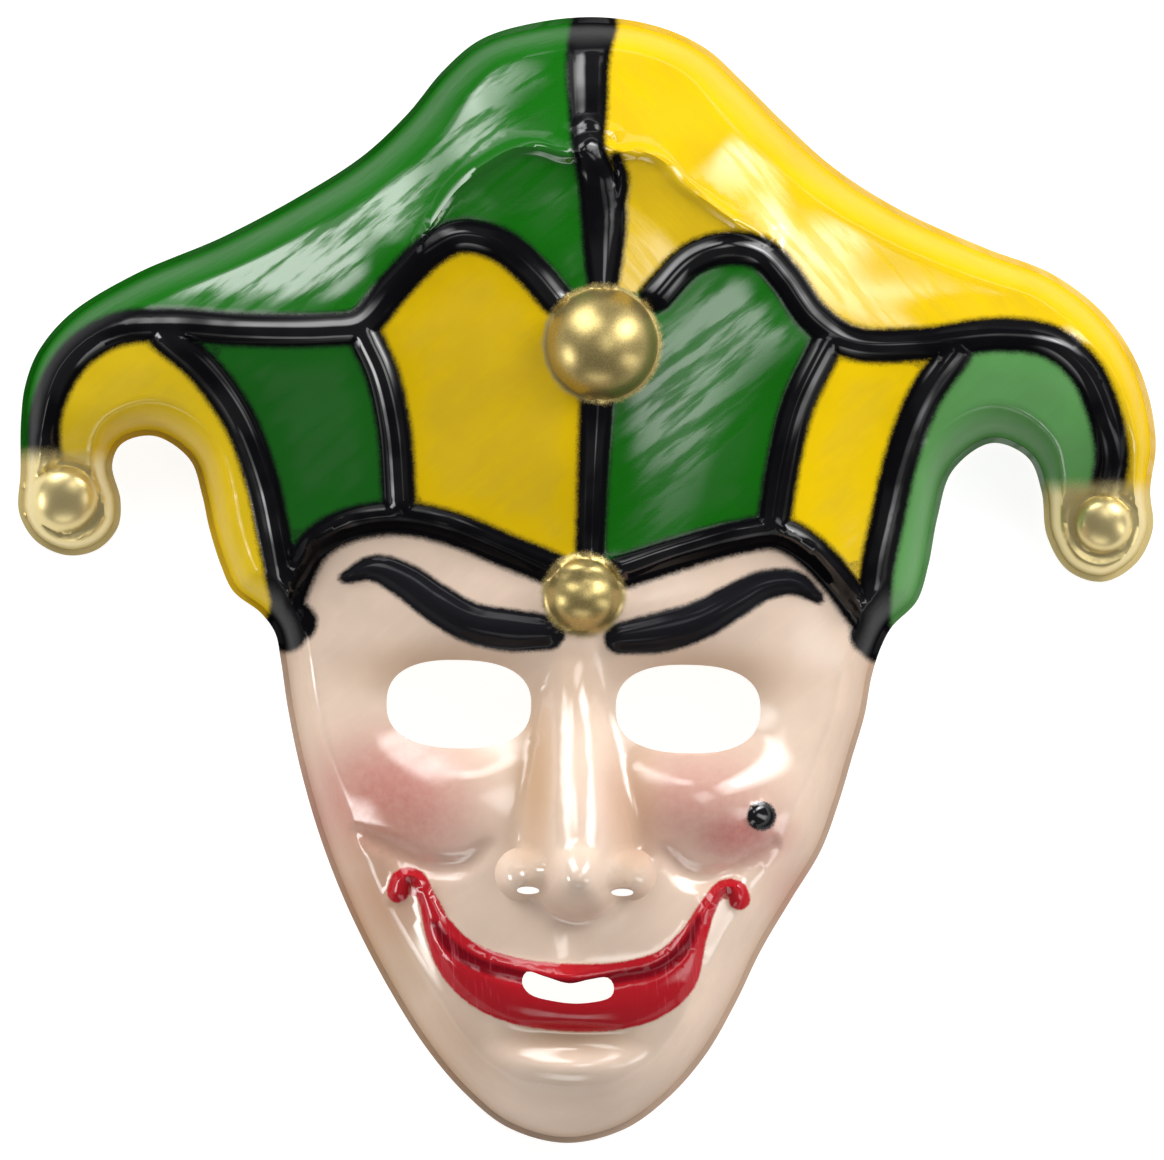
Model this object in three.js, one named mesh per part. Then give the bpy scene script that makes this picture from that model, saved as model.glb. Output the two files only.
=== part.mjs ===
// A jester mask: one sheet of plastic formed over a mould, lying face up on its rim.
// x runs to the viewer's right, y up the face to the top of the cap, z out of the face.
// The middle of the outline lies over the origin, and the rim's underside is the plane z = 0.
import * as THREE from 'three';

// Whole mask, in millimetres
const MASK_WIDTH = 325;
const MASK_HEIGHT = 322;
const FRONT_DEPTH = 60;
const WALL = 1;

// Rim and side
const RIM_FLANGE = 1.6;
const SIDE_STEEPNESS = 5.5;
const EDGE_ROUNDING = 30;

// Cap
const CAP_LIFT = 5;
const CAP_LIFT_RUN = 7;
const PIPING_WIDTH = 8.6;
const PIPING_HEIGHT = 3.2;
const CREST_FOLD_WIDTH = 38;
const CREST_FOLD_HEIGHT = 5;

// Bells
const CENTRE_BELL_RADIUS = 15.8;
const BROW_BELL_RADIUS = 10.4;
const LEFT_TIP_BELL_RADIUS = 9.6;
const RIGHT_TIP_BELL_RADIUS = 8.4;
const BELL_COLLAR_WIDTH = 2.6;
const BELL_COLLAR_HEIGHT = 2.2;

// Hollows that the bells of the horn tips sit in
const TIP_SINK = 8;
const TIP_SINK_REACH = 30;

// Openings
const EYE_SPACING = 65;
const EYE_WIDTH = 41;
const EYE_HEIGHT = 25;
const MOUTH_WIDTH = 26;
const MOUTH_OPENING = 8.6;
const NOSTRIL_SPACING = 26.6;
const NOSTRIL_WIDTH = 6.4;
const NOSTRIL_OPENING = 2.2;

// Features of the face
const BROW_WIDTH = 10;
const BROW_HEIGHT = 3.4;
const NOSE_LENGTH = 64;
const NOSE_WIDTH = 36;
const NOSE_HEIGHT = 25;
const NOSE_WING_WIDTH = 15;
const NOSE_WING_HEIGHT = 7.5;
const GRIN_WIDTH = 97.5;
const GRIN_HEIGHT = 44;
const LIP_WIDTH = 19;
const LIP_HEIGHT = 4.2;
const MOUTH_LINE_WIDTH = 5;
const MOUTH_LINE_DEPTH = 1.4;
const FACE_CREASE_WIDTH = 9;
const FACE_CREASE_DEPTH = 2.4;
const FACE_RELIEF = 8;
const SPOT_WIDTH = 8;
const SPOT_HEIGHT = 2.8;

// How finely the sheet is faceted: along features, in between, and where lines are measured
const FACET = 5.4;
const FILL_FACET = 7.6;
const FINE_STEP = 2;
const LEAST_GAP = 0.9;
const PROBE_INSET = 8;
const EYE_POINTS = 28;
const MOUTH_STEP = 3.4;

// Borders of the holes that get corners of their own
const EYE_BORDER = 4;
const MOUTH_BORDER = 2.4;
const NOSTRIL_BORDER = 1.6;

const HALF_WIDTH = MASK_WIDTH / 2;
const HALF_HEIGHT = MASK_HEIGHT / 2;

// Outline, clockwise from the top: x as a share of half the width, y of half the height
const OUTLINE = [
  [0.006, 0.999], [0.111, 0.983], [0.191, 0.947], [0.255, 0.891], [0.332, 0.817],
  [0.418, 0.742], [0.535, 0.670], [0.683, 0.606], [0.812, 0.558], [0.908, 0.483],
  [0.969, 0.385], [0.996, 0.267], [0.988, 0.180], [0.994, 0.112], [0.966, 0.050],
  [0.908, 0.016], [0.846, 0.035], [0.808, 0.096], [0.797, 0.174], [0.772, 0.233],
  [0.708, 0.258], [0.640, 0.208], [0.615, 0.124], [0.601, 0.040], [0.582, -0.025],
  [0.538, -0.073], [0.519, -0.112], [0.505, -0.161], [0.494, -0.230], [0.474, -0.304],
  [0.452, -0.385], [0.422, -0.472], [0.372, -0.559], [0.320, -0.652], [0.278, -0.745],
  [0.228, -0.837], [0.165, -0.914], [0.086, -0.974], [-0.015, -1.000], [-0.117, -0.975],
  [-0.191, -0.919], [-0.262, -0.839], [-0.335, -0.727], [-0.406, -0.593], [-0.457, -0.470],
  [-0.495, -0.348], [-0.520, -0.239], [-0.535, -0.149], [-0.545, -0.106], [-0.571, -0.071],
  [-0.620, -0.034], [-0.643, 0.012], [-0.665, 0.078], [-0.679, 0.137], [-0.702, 0.199],
  [-0.765, 0.239], [-0.822, 0.224], [-0.838, 0.186], [-0.822, 0.124], [-0.826, 0.075],
  [-0.860, 0.036], [-0.913, 0.024], [-0.969, 0.048], [-1.000, 0.099], [-0.999, 0.168],
  [-1.000, 0.261], [-0.994, 0.323], [-0.972, 0.385], [-0.917, 0.453], [-0.806, 0.525],
  [-0.652, 0.595], [-0.517, 0.671], [-0.409, 0.744], [-0.332, 0.820], [-0.271, 0.898],
  [-0.206, 0.955], [-0.105, 0.988],
];

// Depth of the bare front over the rim, as shares of FRONT_DEPTH: a row for each level
// (a share of half the height), a column for each distance from the middle (a share of
// half the width)
const DEPTH_COLUMNS = [0, 0.2, 0.35, 0.5, 0.65, 0.8, 0.95];
const DEPTH_ROWS = [
  { level: 1.00, depths: [0.34, 0.34, 0.34, 0.34, 0.34, 0.34, 0.32] },
  { level: 0.88, depths: [0.57, 0.50, 0.37, 0.34, 0.34, 0.34, 0.32] },
  { level: 0.76, depths: [0.77, 0.70, 0.49, 0.38, 0.34, 0.34, 0.32] },
  { level: 0.62, depths: [0.83, 0.80, 0.68, 0.52, 0.40, 0.35, 0.32] },
  { level: 0.52, depths: [0.85, 0.82, 0.75, 0.64, 0.51, 0.40, 0.32] },
  { level: 0.43, depths: [0.86, 0.83, 0.78, 0.70, 0.62, 0.51, 0.34] },
  { level: 0.24, depths: [0.87, 0.83, 0.74, 0.62, 0.48, 0.36, 0.28] },
  { level: 0.08, depths: [0.85, 0.81, 0.70, 0.54, 0.34, 0.20, 0.20] },
  { level: -0.06, depths: [0.84, 0.79, 0.66, 0.47, 0.33, 0.18, 0.18] },
  { level: -0.20, depths: [0.78, 0.73, 0.62, 0.43, 0.32, 0.18, 0.18] },
  { level: -0.38, depths: [0.83, 0.78, 0.66, 0.45, 0.32, 0.18, 0.18] },
  { level: -0.55, depths: [0.87, 0.79, 0.61, 0.42, 0.32, 0.18, 0.18] },
  { level: -0.70, depths: [0.87, 0.75, 0.52, 0.38, 0.30, 0.18, 0.18] },
  { level: -0.84, depths: [0.79, 0.64, 0.42, 0.32, 0.25, 0.18, 0.18] },
  { level: -0.93, depths: [0.59, 0.46, 0.33, 0.28, 0.22, 0.18, 0.18] },
  { level: -1.00, depths: [0.32, 0.29, 0.25, 0.22, 0.20, 0.18, 0.18] },
];

// Piping: x, y as shares of half the width and height, then the width as a share of
// PIPING_WIDTH where it isn't 1
const PIPING = {
  leftSweep: [
    [-0.060, 0.493], [-0.098, 0.536], [-0.160, 0.586], [-0.230, 0.599], [-0.282, 0.571],
    [-0.342, 0.508], [-0.398, 0.441], [-0.454, 0.431], [-0.611, 0.428], [-0.734, 0.434],
    [-0.830, 0.423], [-0.899, 0.378], [-0.941, 0.306], [-0.954, 0.244], [-0.949, 0.188],
  ],
  rightSweep: [
    [0.113, 0.500], [0.173, 0.565], [0.233, 0.587], [0.295, 0.580], [0.339, 0.537],
    [0.388, 0.471], [0.455, 0.428], [0.578, 0.427], [0.717, 0.448], [0.805, 0.437],
    [0.867, 0.389], [0.904, 0.311], [0.919, 0.240], [0.912, 0.175],
  ],
  topSeam: [
    [-0.004, 0.985, 1.4], [-0.013, 0.917, 1.3], [-0.011, 0.829, 1.15], [-0.008, 0.756, 0.98],
    [0.008, 0.705, 1.2], [0.019, 0.655, 1.4], [0.021, 0.581, 1.22], [0.021, 0.519, 0.9],
  ],
  frontSeam: [[0.015, 0.309], [0.011, 0.177, 0.9], [0.009, 0.035, 0.85]],
  leftInner: [[-0.393, 0.424], [-0.360, 0.354], [-0.337, 0.258], [-0.325, 0.125]],
  rightInner: [[0.413, 0.424], [0.365, 0.317], [0.341, 0.210], [0.326, 0.099]],
  leftOuter: [
    [-0.742, 0.416], [-0.671, 0.356], [-0.608, 0.269], [-0.567, 0.164], [-0.542, 0.059],
    [-0.519, -0.046], [-0.508, -0.090],
  ],
  rightOuter: [
    [0.639, 0.416], [0.588, 0.339], [0.552, 0.241], [0.526, 0.117], [0.508, 0.011],
    [0.510, -0.077],
  ],
  leftBrim: [
    [-0.525, -0.082], [-0.509, -0.020], [-0.472, 0.052], [-0.412, 0.088], [-0.325, 0.102],
    [-0.237, 0.087], [-0.140, 0.050], [-0.043, 0.013],
  ],
  rightBrim: [
    [0.062, 0.015], [0.166, 0.051], [0.261, 0.080], [0.336, 0.090], [0.397, 0.056],
    [0.456, -0.008], [0.501, -0.069], [0.519, -0.095],
  ],
};

// Crest folds, where the top of the cap turns over to its front
const CREST_FOLDS = [
  [[-0.030, 0.753, 0.6], [-0.117, 0.761], [-0.200, 0.716], [-0.265, 0.640], [-0.305, 0.571]],
  [[0.029, 0.752, 0.6], [0.110, 0.747], [0.152, 0.715], [0.193, 0.675], [0.246, 0.639]],
];

// Bells: place as shares of half the width and height, and how deep their hollow is
const BELLS = [
  { at: [0.022, 0.415], radius: CENTRE_BELL_RADIUS, collar: 0.45, sink: 0 },
  { at: [-0.001, -0.026], radius: BROW_BELL_RADIUS, collar: 1, sink: 0 },
  { at: [-0.915, 0.124], radius: LEFT_TIP_BELL_RADIUS, collar: 0.7, sink: TIP_SINK },
  { at: [0.908, 0.118], radius: RIGHT_TIP_BELL_RADIUS, collar: 0.7, sink: TIP_SINK },
];

// Brows, from the outer end or the nose outwards, with their widths
const BROWS = [
  [
    [-0.419, -0.005, 0.2], [-0.367, 0.013, 0.6], [-0.314, -0.007, 0.85],
    [-0.260, -0.044, 0.95], [-0.199, -0.078, 1], [-0.128, -0.091, 1.05], [-0.062, -0.093, 0.85],
  ],
  [
    [0.064, -0.101, 0.75], [0.134, -0.089, 1], [0.203, -0.066, 0.95], [0.264, -0.030, 0.85],
    [0.316, -0.002, 0.7], [0.368, 0.003, 0.55], [0.409, -0.023, 0.2],
  ],
];

// Eye holes: middle of the pair and their level, as shares
const EYES_MIDDLE = [-0.0145, -0.223];
const EYE_SQUARENESS = 2.5;

// Mouth: the hole's place, then its edge in shares of half its width and opening
const MOUTH_AT = [-0.0155, -0.715];
const MOUTH_EDGE = [
  [-0.88, 0.95], [-0.48, 0.67], [0.05, 0.26], [0.50, 0.55], [0.89, 0.67], [1.02, 0.12],
  [0.96, -0.55], [0.37, -1.02], [-0.22, -0.95], [-0.81, -0.48], [-0.98, 0.26],
];

// Lips from curl to curl round the mouth hole: x as a share of half GRIN_WIDTH, y of
// GRIN_HEIGHT, width of LIP_WIDTH, height of LIP_HEIGHT
const LIPS = [
  [-0.995, 0.584, 0.32, 0.6], [-0.970, 0.675, 0.27, 0.6], [-0.892, 0.686, 0.21, 0.6],
  [-0.820, 0.539, 0.27, 0.6], [-0.743, 0.334, 0.44, 0.7], [-0.605, 0.130, 0.72, 0.9],
  [-0.379, -0.007, 0.93, 1], [0, -0.068, 1, 1], [0.390, -0.030, 0.97, 1],
  [0.595, 0.084, 0.80, 0.9], [0.718, 0.311, 0.42, 0.7], [0.806, 0.527, 0.25, 0.6],
  [0.892, 0.659, 0.20, 0.6], [0.974, 0.652, 0.25, 0.6], [0.991, 0.584, 0.32, 0.6],
];
const MOUTH_LINE = [
  [-0.780, 0.386, 0.6, 0.5], [-0.677, 0.239], [-0.513, 0.132], [-0.287, 0.068], [0, 0.011],
  [0.287, 0.068], [0.533, 0.136], [0.677, 0.273], [0.759, 0.455, 0.6, 0.5],
];

// Nose: x as a share of NOSE_WIDTH, y of NOSE_LENGTH down from its root, then its width
// and height as shares of NOSE_WIDTH and NOSE_HEIGHT
const NOSE_ROOT = [-0.013, -0.135];
const NOSE_RIDGE = [
  [0, 0, 0.50, 0.10], [-0.02, -0.20, 0.55, 0.25], [0.01, -0.42, 0.72, 0.48],
  [0.03, -0.66, 0.92, 0.74], [0.05, -0.85, 1.00, 0.88], [0.06, -0.95, 0.85, 0.88],
];
const NOSE_TIP = { at: [0.06, -0.98], width: 0.54, height: 0.26 };
const NOSE_WINGS = [[-0.39, -0.965], [0.467, -0.955]];
const NOSTRILS_AT = [0.0375, -1.035];

// Creases of the face, x and y as shares of half the width and height
const FACE_CREASES = [
  [
    [-0.390, -0.453, 0.7, 0.6], [-0.323, -0.481], [-0.255, -0.509], [-0.200, -0.506],
    [-0.155, -0.470, 0.7, 0.5],
  ],
  [
    [0.150, -0.475, 0.7, 0.5], [0.190, -0.516], [0.235, -0.519], [0.283, -0.497],
    [0.340, -0.460, 0.7, 0.6],
  ],
];

// Swellings and hollows of the face: place, half width and half height as shares of half
// the mask, rise as a share of FACE_RELIEF
const FACE_MOUNDS = {
  leftCheek: { at: [-0.24, -0.400], reach: [0.20, 0.150], rise: 0.6 },
  rightCheek: { at: [0.235, -0.382], reach: [0.19, 0.135], rise: 0.95 },
  chin: { at: [-0.012, -0.880], reach: [0.20, 0.105], rise: 0.75 },
  underLip: { at: [-0.012, -0.815], reach: [0.15, 0.045], rise: -0.45 },
  underNose: { at: [-0.012, -0.620], reach: [0.035, 0.065], rise: -0.15 },
  forehead: { at: [0, -0.045], reach: [0.36, 0.100], rise: 0.25 },
};

// Eye sockets: reach as shares of the eye hole, sink as a share of FACE_RELIEF
const SOCKET_REACH = [0.74, 0.86];
const SOCKET_SINK = 0.6;

const SPOT_AT = [0.317, -0.408];

// Rows of corners along the features, as shares of their half widths
const RIB_ROWS = [-0.45, 0.45, -1.04, 1.04];
const LIP_ROWS = [-1.04, 1.04, 0, -0.6, 0.6];
const NOSE_ROWS = [0, -0.35, 0.35, -0.75, 0.75];
const CREASE_ROWS = [0, -1, 1];
const MIDDLE_ROW = [0];

// Rings of corners on round forms, as shares of their radius
const BELL_RINGS = [0.42, 0.75, 0.95, 1.03];
const WING_RINGS = [0.60, 1.04];
const SPOT_RINGS = [0.60, 1.10];
const RIM_RINGS = [1.02];

// Smooth value through rows of knots and values, with the slope at each knot taken from
// its two neighbours
function smoothValue(knots, values, at) {
  const last = knots.length - 1;
  const rising = knots[last] > knots[0] ? 1 : -1;
  let i = 0;
  while (i < last - 1 && (at - knots[i + 1]) * rising > 0) i += 1;
  const slope = (k) => {
    const a = Math.max(0, k - 1);
    const b = Math.min(last, k + 1);
    return (values[b] - values[a]) / (knots[b] - knots[a]);
  };
  const run = knots[i + 1] - knots[i];
  const t = THREE.MathUtils.clamp((at - knots[i]) / run, 0, 1);
  const start = (1 + 2 * t) * (1 - t) ** 2 * values[i] + t * (1 - t) ** 2 * run * slope(i);
  const end = t * t * (3 - 2 * t) * values[i + 1] - t * t * (1 - t) * run * slope(i + 1);
  return start + end;
}

// Point on the mask from shares of half its width and height
function place([x, y]) {
  return new THREE.Vector2(x * HALF_WIDTH, y * HALF_HEIGHT);
}

// Smooth curve through points of the plane
function curveThrough(points, closed) {
  const spots = points.map((p) => new THREE.Vector3(p.x, p.y, 0));
  const curve = new THREE.CatmullRomCurve3(spots, closed, 'centripetal');
  curve.arcLengthDivisions = 24 * points.length;
  return curve;
}

// Evenly spaced points of a closed curve
function ringThrough(points, step) {
  const curve = curveThrough(points, true);
  const count = Math.max(8, Math.round(curve.getLength() / step));
  const ring = curve.getSpacedPoints(count).slice(0, count);
  return ring.map((p) => new THREE.Vector2(p.x, p.y));
}

// A stroke: stations along a smooth line, each with half its width and its height there
function strokeThrough(rows, toPlane, width, height) {
  const curve = curveThrough(rows.map(toPlane), false);
  const order = rows.map((row, index) => index);
  const widths = rows.map((row) => row[2] ?? 1);
  const heights = rows.map((row) => row[3] ?? 1);
  const count = Math.ceil(curve.getLength() / FINE_STEP);
  const stations = [];
  for (let i = 0; i <= count; i += 1) {
    const t = curve.getUtoTmapping(i / count);
    const along = t * (rows.length - 1);
    const { x, y } = curve.getPoint(t);
    const reach = width / 2 * smoothValue(order, widths, along);
    stations.push({ x, y, reach, height: height * smoothValue(order, heights, along) });
  }
  return stations;
}

// Nearest place of a stroke: distance as a share of its half width there, and its height
function nearestOf(stations, x, y) {
  let share = Infinity;
  let height = 0;
  for (let i = 0; i + 1 < stations.length; i += 1) {
    const a = stations[i];
    const b = stations[i + 1];
    const dx = b.x - a.x;
    const dy = b.y - a.y;
    const t = THREE.MathUtils.clamp(((x - a.x) * dx + (y - a.y) * dy) / (dx * dx + dy * dy), 0, 1);
    const reach = a.reach + t * (b.reach - a.reach);
    const distance = Math.hypot(x - a.x - t * dx, y - a.y - t * dy) / reach;
    if (distance < share) {
      share = distance;
      height = a.height + t * (b.height - a.height);
    }
  }
  return { share, height };
}

// Cross sections of raised forms: t is the distance from the middle, 1 at the foot
const roll = (t) => (t < 1 ? 1 - t ** 2.4 : 0);
const swell = (t) => (t < 1 ? (1 - t * t) ** 2 : 0);
const ridge = (t) => (t < 1 ? (1 - t ** 2.6) ** 2 : 0);
const fold = (t) => (t < 1 ? (1 - t) ** 2 : 0);
const dome = (t) => (t < 1 ? Math.sqrt(1 - t * t) : 0);
const round = (t) => (t < 1 ? 1 - t * t : 0);
const boss = (t) => (t < 1 ? 1 - t ** 6 : 0);

function strokeHeight(stations, section, x, y) {
  const { share, height } = nearestOf(stations, x, y);
  return height * section(share);
}

// Outline of the mask, stretched so that its box is exactly the mask's size
function outlinePoints() {
  const box = new THREE.Box2().setFromPoints(ringThrough(OUTLINE.map(place), FINE_STEP));
  const size = box.getSize(new THREE.Vector2());
  const middle = box.getCenter(new THREE.Vector2());
  const stretch = new THREE.Vector2(MASK_WIDTH / size.x, MASK_HEIGHT / size.y);
  return OUTLINE.map((row) => place(row).sub(middle).multiply(stretch));
}

const outlineFine = ringThrough(outlinePoints(), FINE_STEP);

function edgeDistance(x, y) {
  let nearest = Infinity;
  for (let i = 0; i < outlineFine.length; i += 1) {
    const a = outlineFine[i];
    const b = outlineFine[(i + 1) % outlineFine.length];
    const dx = b.x - a.x;
    const dy = b.y - a.y;
    const t = THREE.MathUtils.clamp(((x - a.x) * dx + (y - a.y) * dy) / (dx * dx + dy * dy), 0, 1);
    nearest = Math.min(nearest, Math.hypot(x - a.x - t * dx, y - a.y - t * dy));
  }
  return nearest;
}

// Features set out once, in millimetres
const strokesOf = (lines, width, height) => lines.map((rows) => strokeThrough(rows, place, width, height));
const pipingStrokes = strokesOf(Object.values(PIPING), PIPING_WIDTH, PIPING_HEIGHT);
const crestStrokes = strokesOf(CREST_FOLDS, CREST_FOLD_WIDTH, CREST_FOLD_HEIGHT);
const browStrokes = strokesOf(BROWS, BROW_WIDTH, BROW_HEIGHT);
const creaseStrokes = strokesOf(FACE_CREASES, FACE_CREASE_WIDTH, -FACE_CREASE_DEPTH);
const mouthPlace = place(MOUTH_AT);
const inGrin = ([x, y]) => new THREE.Vector2(x * GRIN_WIDTH / 2, y * GRIN_HEIGHT).add(mouthPlace);
const lipStroke = strokeThrough(LIPS, inGrin, LIP_WIDTH, LIP_HEIGHT);
const mouthLineStroke = strokeThrough(MOUTH_LINE, inGrin, MOUTH_LINE_WIDTH, -MOUTH_LINE_DEPTH);
const nosePlace = place(NOSE_ROOT);
const onNose = ([x, y]) => new THREE.Vector2(x * NOSE_WIDTH, y * NOSE_LENGTH).add(nosePlace);
const noseStroke = strokeThrough(NOSE_RIDGE, onNose, NOSE_WIDTH, NOSE_HEIGHT);
const pairOf = (middle, spacing) => [-1, 1].map((side) => {
  return new THREE.Vector2(middle.x + side * spacing / 2, middle.y);
});
const eyePlaces = pairOf(place(EYES_MIDDLE), EYE_SPACING);
const nostrilPlaces = pairOf(onNose(NOSTRILS_AT), NOSTRIL_SPACING);
const spotPlace = place(SPOT_AT);

// The brim's level above each x, from the piping that runs along it
const brimLine = [...PIPING.leftBrim, ...PIPING.rightBrim].map(place);

function brimLevel(x) {
  let i = 0;
  while (i < brimLine.length - 2 && x > brimLine[i + 1].x) i += 1;
  const a = brimLine[i];
  const b = brimLine[i + 1];
  return THREE.MathUtils.mapLinear(THREE.MathUtils.clamp(x, a.x, b.x), a.x, b.x, a.y, b.y);
}

function capLift(x, y) {
  return CAP_LIFT * THREE.MathUtils.smoothstep(y - brimLevel(x), -CAP_LIFT_RUN / 2, CAP_LIFT_RUN / 2);
}

// Columns and rows of the depth table with the left half added
const levels = DEPTH_ROWS.map((row) => row.level);
const bothSides = [...DEPTH_COLUMNS.slice(1).reverse().map((share) => -share), ...DEPTH_COLUMNS];
const depthRows = DEPTH_ROWS.map(({ depths }) => [...depths.slice(1).reverse(), ...depths]);

function bareDepth(x, y) {
  const depths = depthRows.map((row) => smoothValue(bothSides, row, x / HALF_WIDTH));
  return FRONT_DEPTH * smoothValue(levels, depths, y / HALF_HEIGHT);
}

function mound(centre, reachX, reachY, height, section, x, y) {
  return height * section(Math.hypot((x - centre.x) / reachX, (y - centre.y) / reachY));
}

function faceMounds(x, y) {
  let height = 0;
  for (const { at, reach, rise } of Object.values(FACE_MOUNDS)) {
    const [reachX, reachY] = [reach[0] * HALF_WIDTH, reach[1] * HALF_HEIGHT];
    height += mound(place(at), reachX, reachY, rise * FACE_RELIEF, swell, x, y);
  }
  for (const eye of eyePlaces) {
    const [reachX, reachY] = [SOCKET_REACH[0] * EYE_WIDTH, SOCKET_REACH[1] * EYE_HEIGHT];
    height -= mound(eye, reachX, reachY, SOCKET_SINK * FACE_RELIEF, swell, x, y);
  }
  return height;
}

function noseHeight(x, y) {
  const tipReach = NOSE_TIP.width * NOSE_WIDTH / 2;
  let height = strokeHeight(noseStroke, ridge, x, y);
  height += mound(onNose(NOSE_TIP.at), tipReach, tipReach, NOSE_TIP.height * NOSE_HEIGHT, round, x, y);
  for (const wing of NOSE_WINGS) {
    const reach = NOSE_WING_WIDTH / 2;
    height += mound(onNose(wing), reach, reach, NOSE_WING_HEIGHT, round, x, y);
  }
  return height;
}

function bellHeight(bell, x, y) {
  const centre = place(bell.at);
  const out = Math.hypot(x - centre.x, y - centre.y);
  const collar = BELL_COLLAR_HEIGHT * boss(out / (bell.radius + bell.collar * BELL_COLLAR_WIDTH));
  return Math.max(collar, bell.radius * dome(out / bell.radius));
}

function raisedDetail(x, y) {
  let height = SPOT_HEIGHT * dome(Math.hypot(x - spotPlace.x, y - spotPlace.y) / (SPOT_WIDTH / 2));
  for (const stations of [...pipingStrokes, ...browStrokes]) {
    height = Math.max(height, strokeHeight(stations, round, x, y));
  }
  for (const bell of BELLS) height = Math.max(height, bellHeight(bell, x, y));
  return height;
}

function tipHollows(x, y) {
  let depth = 0;
  for (const { at, sink } of BELLS) {
    depth += mound(place(at), TIP_SINK_REACH, TIP_SINK_REACH, sink, swell, x, y);
  }
  return depth;
}

// Front of the sheet before the side wall cuts it off
function frontHeight(x, y) {
  let height = bareDepth(x, y) + capLift(x, y) + faceMounds(x, y) + noseHeight(x, y);
  height -= tipHollows(x, y);
  for (const stations of crestStrokes) height += strokeHeight(stations, fold, x, y);
  for (const stations of creaseStrokes) height += strokeHeight(stations, swell, x, y);
  height += strokeHeight(lipStroke, roll, x, y) + strokeHeight(mouthLineStroke, swell, x, y);
  return height + raisedDetail(x, y);
}

// The lower of two heights, with the corner between them rounded
function roundedMin(a, b, rounding) {
  const overlap = Math.max(0, rounding - Math.abs(a - b)) / rounding;
  return Math.min(a, b) - overlap * overlap * rounding / 4;
}

// The turn from the side to the front is rounded more where the front stands higher
function turnRounding(front) {
  return EDGE_ROUNDING * Math.max(WALL, front) / FRONT_DEPTH;
}

// Outer face of the sheet: flat flange, steep side, then the front
function outerHeight(x, y) {
  const side = WALL + SIDE_STEEPNESS * Math.max(0, edgeDistance(x, y) - RIM_FLANGE);
  const front = frontHeight(x, y);
  return Math.max(WALL, roundedMin(side, front, turnRounding(front)));
}

// Inner face: straight below the outer one, by the wall measured square to the slope
function innerHeight(x, y, outer) {
  const near = WALL / 2;
  const slopeX = (outerHeight(x + near, y) - outerHeight(x - near, y)) / (2 * near);
  const slopeY = (outerHeight(x, y + near) - outerHeight(x, y - near)) / (2 * near);
  const lean = Math.min(SIDE_STEEPNESS, Math.hypot(slopeX, slopeY));
  return Math.max(0, outer - WALL * Math.hypot(1, lean));
}

function insideRing(ring, x, y) {
  let inside = false;
  for (let i = 0, j = ring.length - 1; i < ring.length; j = i, i += 1) {
    const a = ring[i];
    const b = ring[j];
    if ((a.y > y) !== (b.y > y) && x < (b.x - a.x) * (y - a.y) / (b.y - a.y) + a.x) inside = !inside;
  }
  return inside;
}

// Edges of the holes
function eyeRing(centre, grow, count) {
  return Array.from({ length: count }, (unused, i) => {
    const turn = 2 * Math.PI * i / count;
    const bend = (value) => Math.sign(value) * Math.abs(value) ** (2 / EYE_SQUARENESS);
    const x = (EYE_WIDTH / 2 + grow) * bend(Math.cos(turn));
    const y = (EYE_HEIGHT / 2 + grow) * bend(Math.sin(turn));
    return new THREE.Vector2(centre.x + x, centre.y + y);
  });
}

function mouthRing(grow, step) {
  const halfWidth = MOUTH_WIDTH / 2 + grow;
  const halfOpening = MOUTH_OPENING / 2 + grow;
  const onEdge = ([x, y]) => new THREE.Vector2(x * halfWidth, y * halfOpening).add(mouthPlace);
  return ringThrough(MOUTH_EDGE.map(onEdge), step);
}

function nostrilRing(centre, grow) {
  const turns = [0, 45, 90, 135, 180, 225, 270, 315].map(THREE.MathUtils.degToRad);
  return turns.map((turn) => {
    const x = (NOSTRIL_WIDTH / 2 + grow) * Math.cos(turn);
    const y = (NOSTRIL_OPENING / 2 + grow) * Math.sin(turn);
    return new THREE.Vector2(centre.x + x, centre.y + y);
  });
}

const outlineRing = ringThrough(outlinePoints(), FACET);
const holes = [
  ...eyePlaces.map((eye) => eyeRing(eye, 0, EYE_POINTS)),
  mouthRing(0, MOUTH_STEP),
  ...nostrilPlaces.map((nostril) => nostrilRing(nostril, 0)),
];

function onSheet(x, y) {
  return insideRing(outlineRing, x, y) && !holes.some((hole) => insideRing(hole, x, y));
}

// Corners of the facets, set along the features and then filled in between
const corners = [];

function addCorner(x, y, gap) {
  if (!onSheet(x, y)) return;
  if (corners.some((c) => Math.hypot(c.x - x, c.y - y) < gap)) return;
  corners.push(new THREE.Vector2(x, y));
}

// Rings inside the outline: at the flange's edge, then up the side and round the turn to
// the front, at these shares of the turn's rounding below or above the front
const TURN_RINGS = [-0.9, -0.3, 0.2, 0.8];

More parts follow.
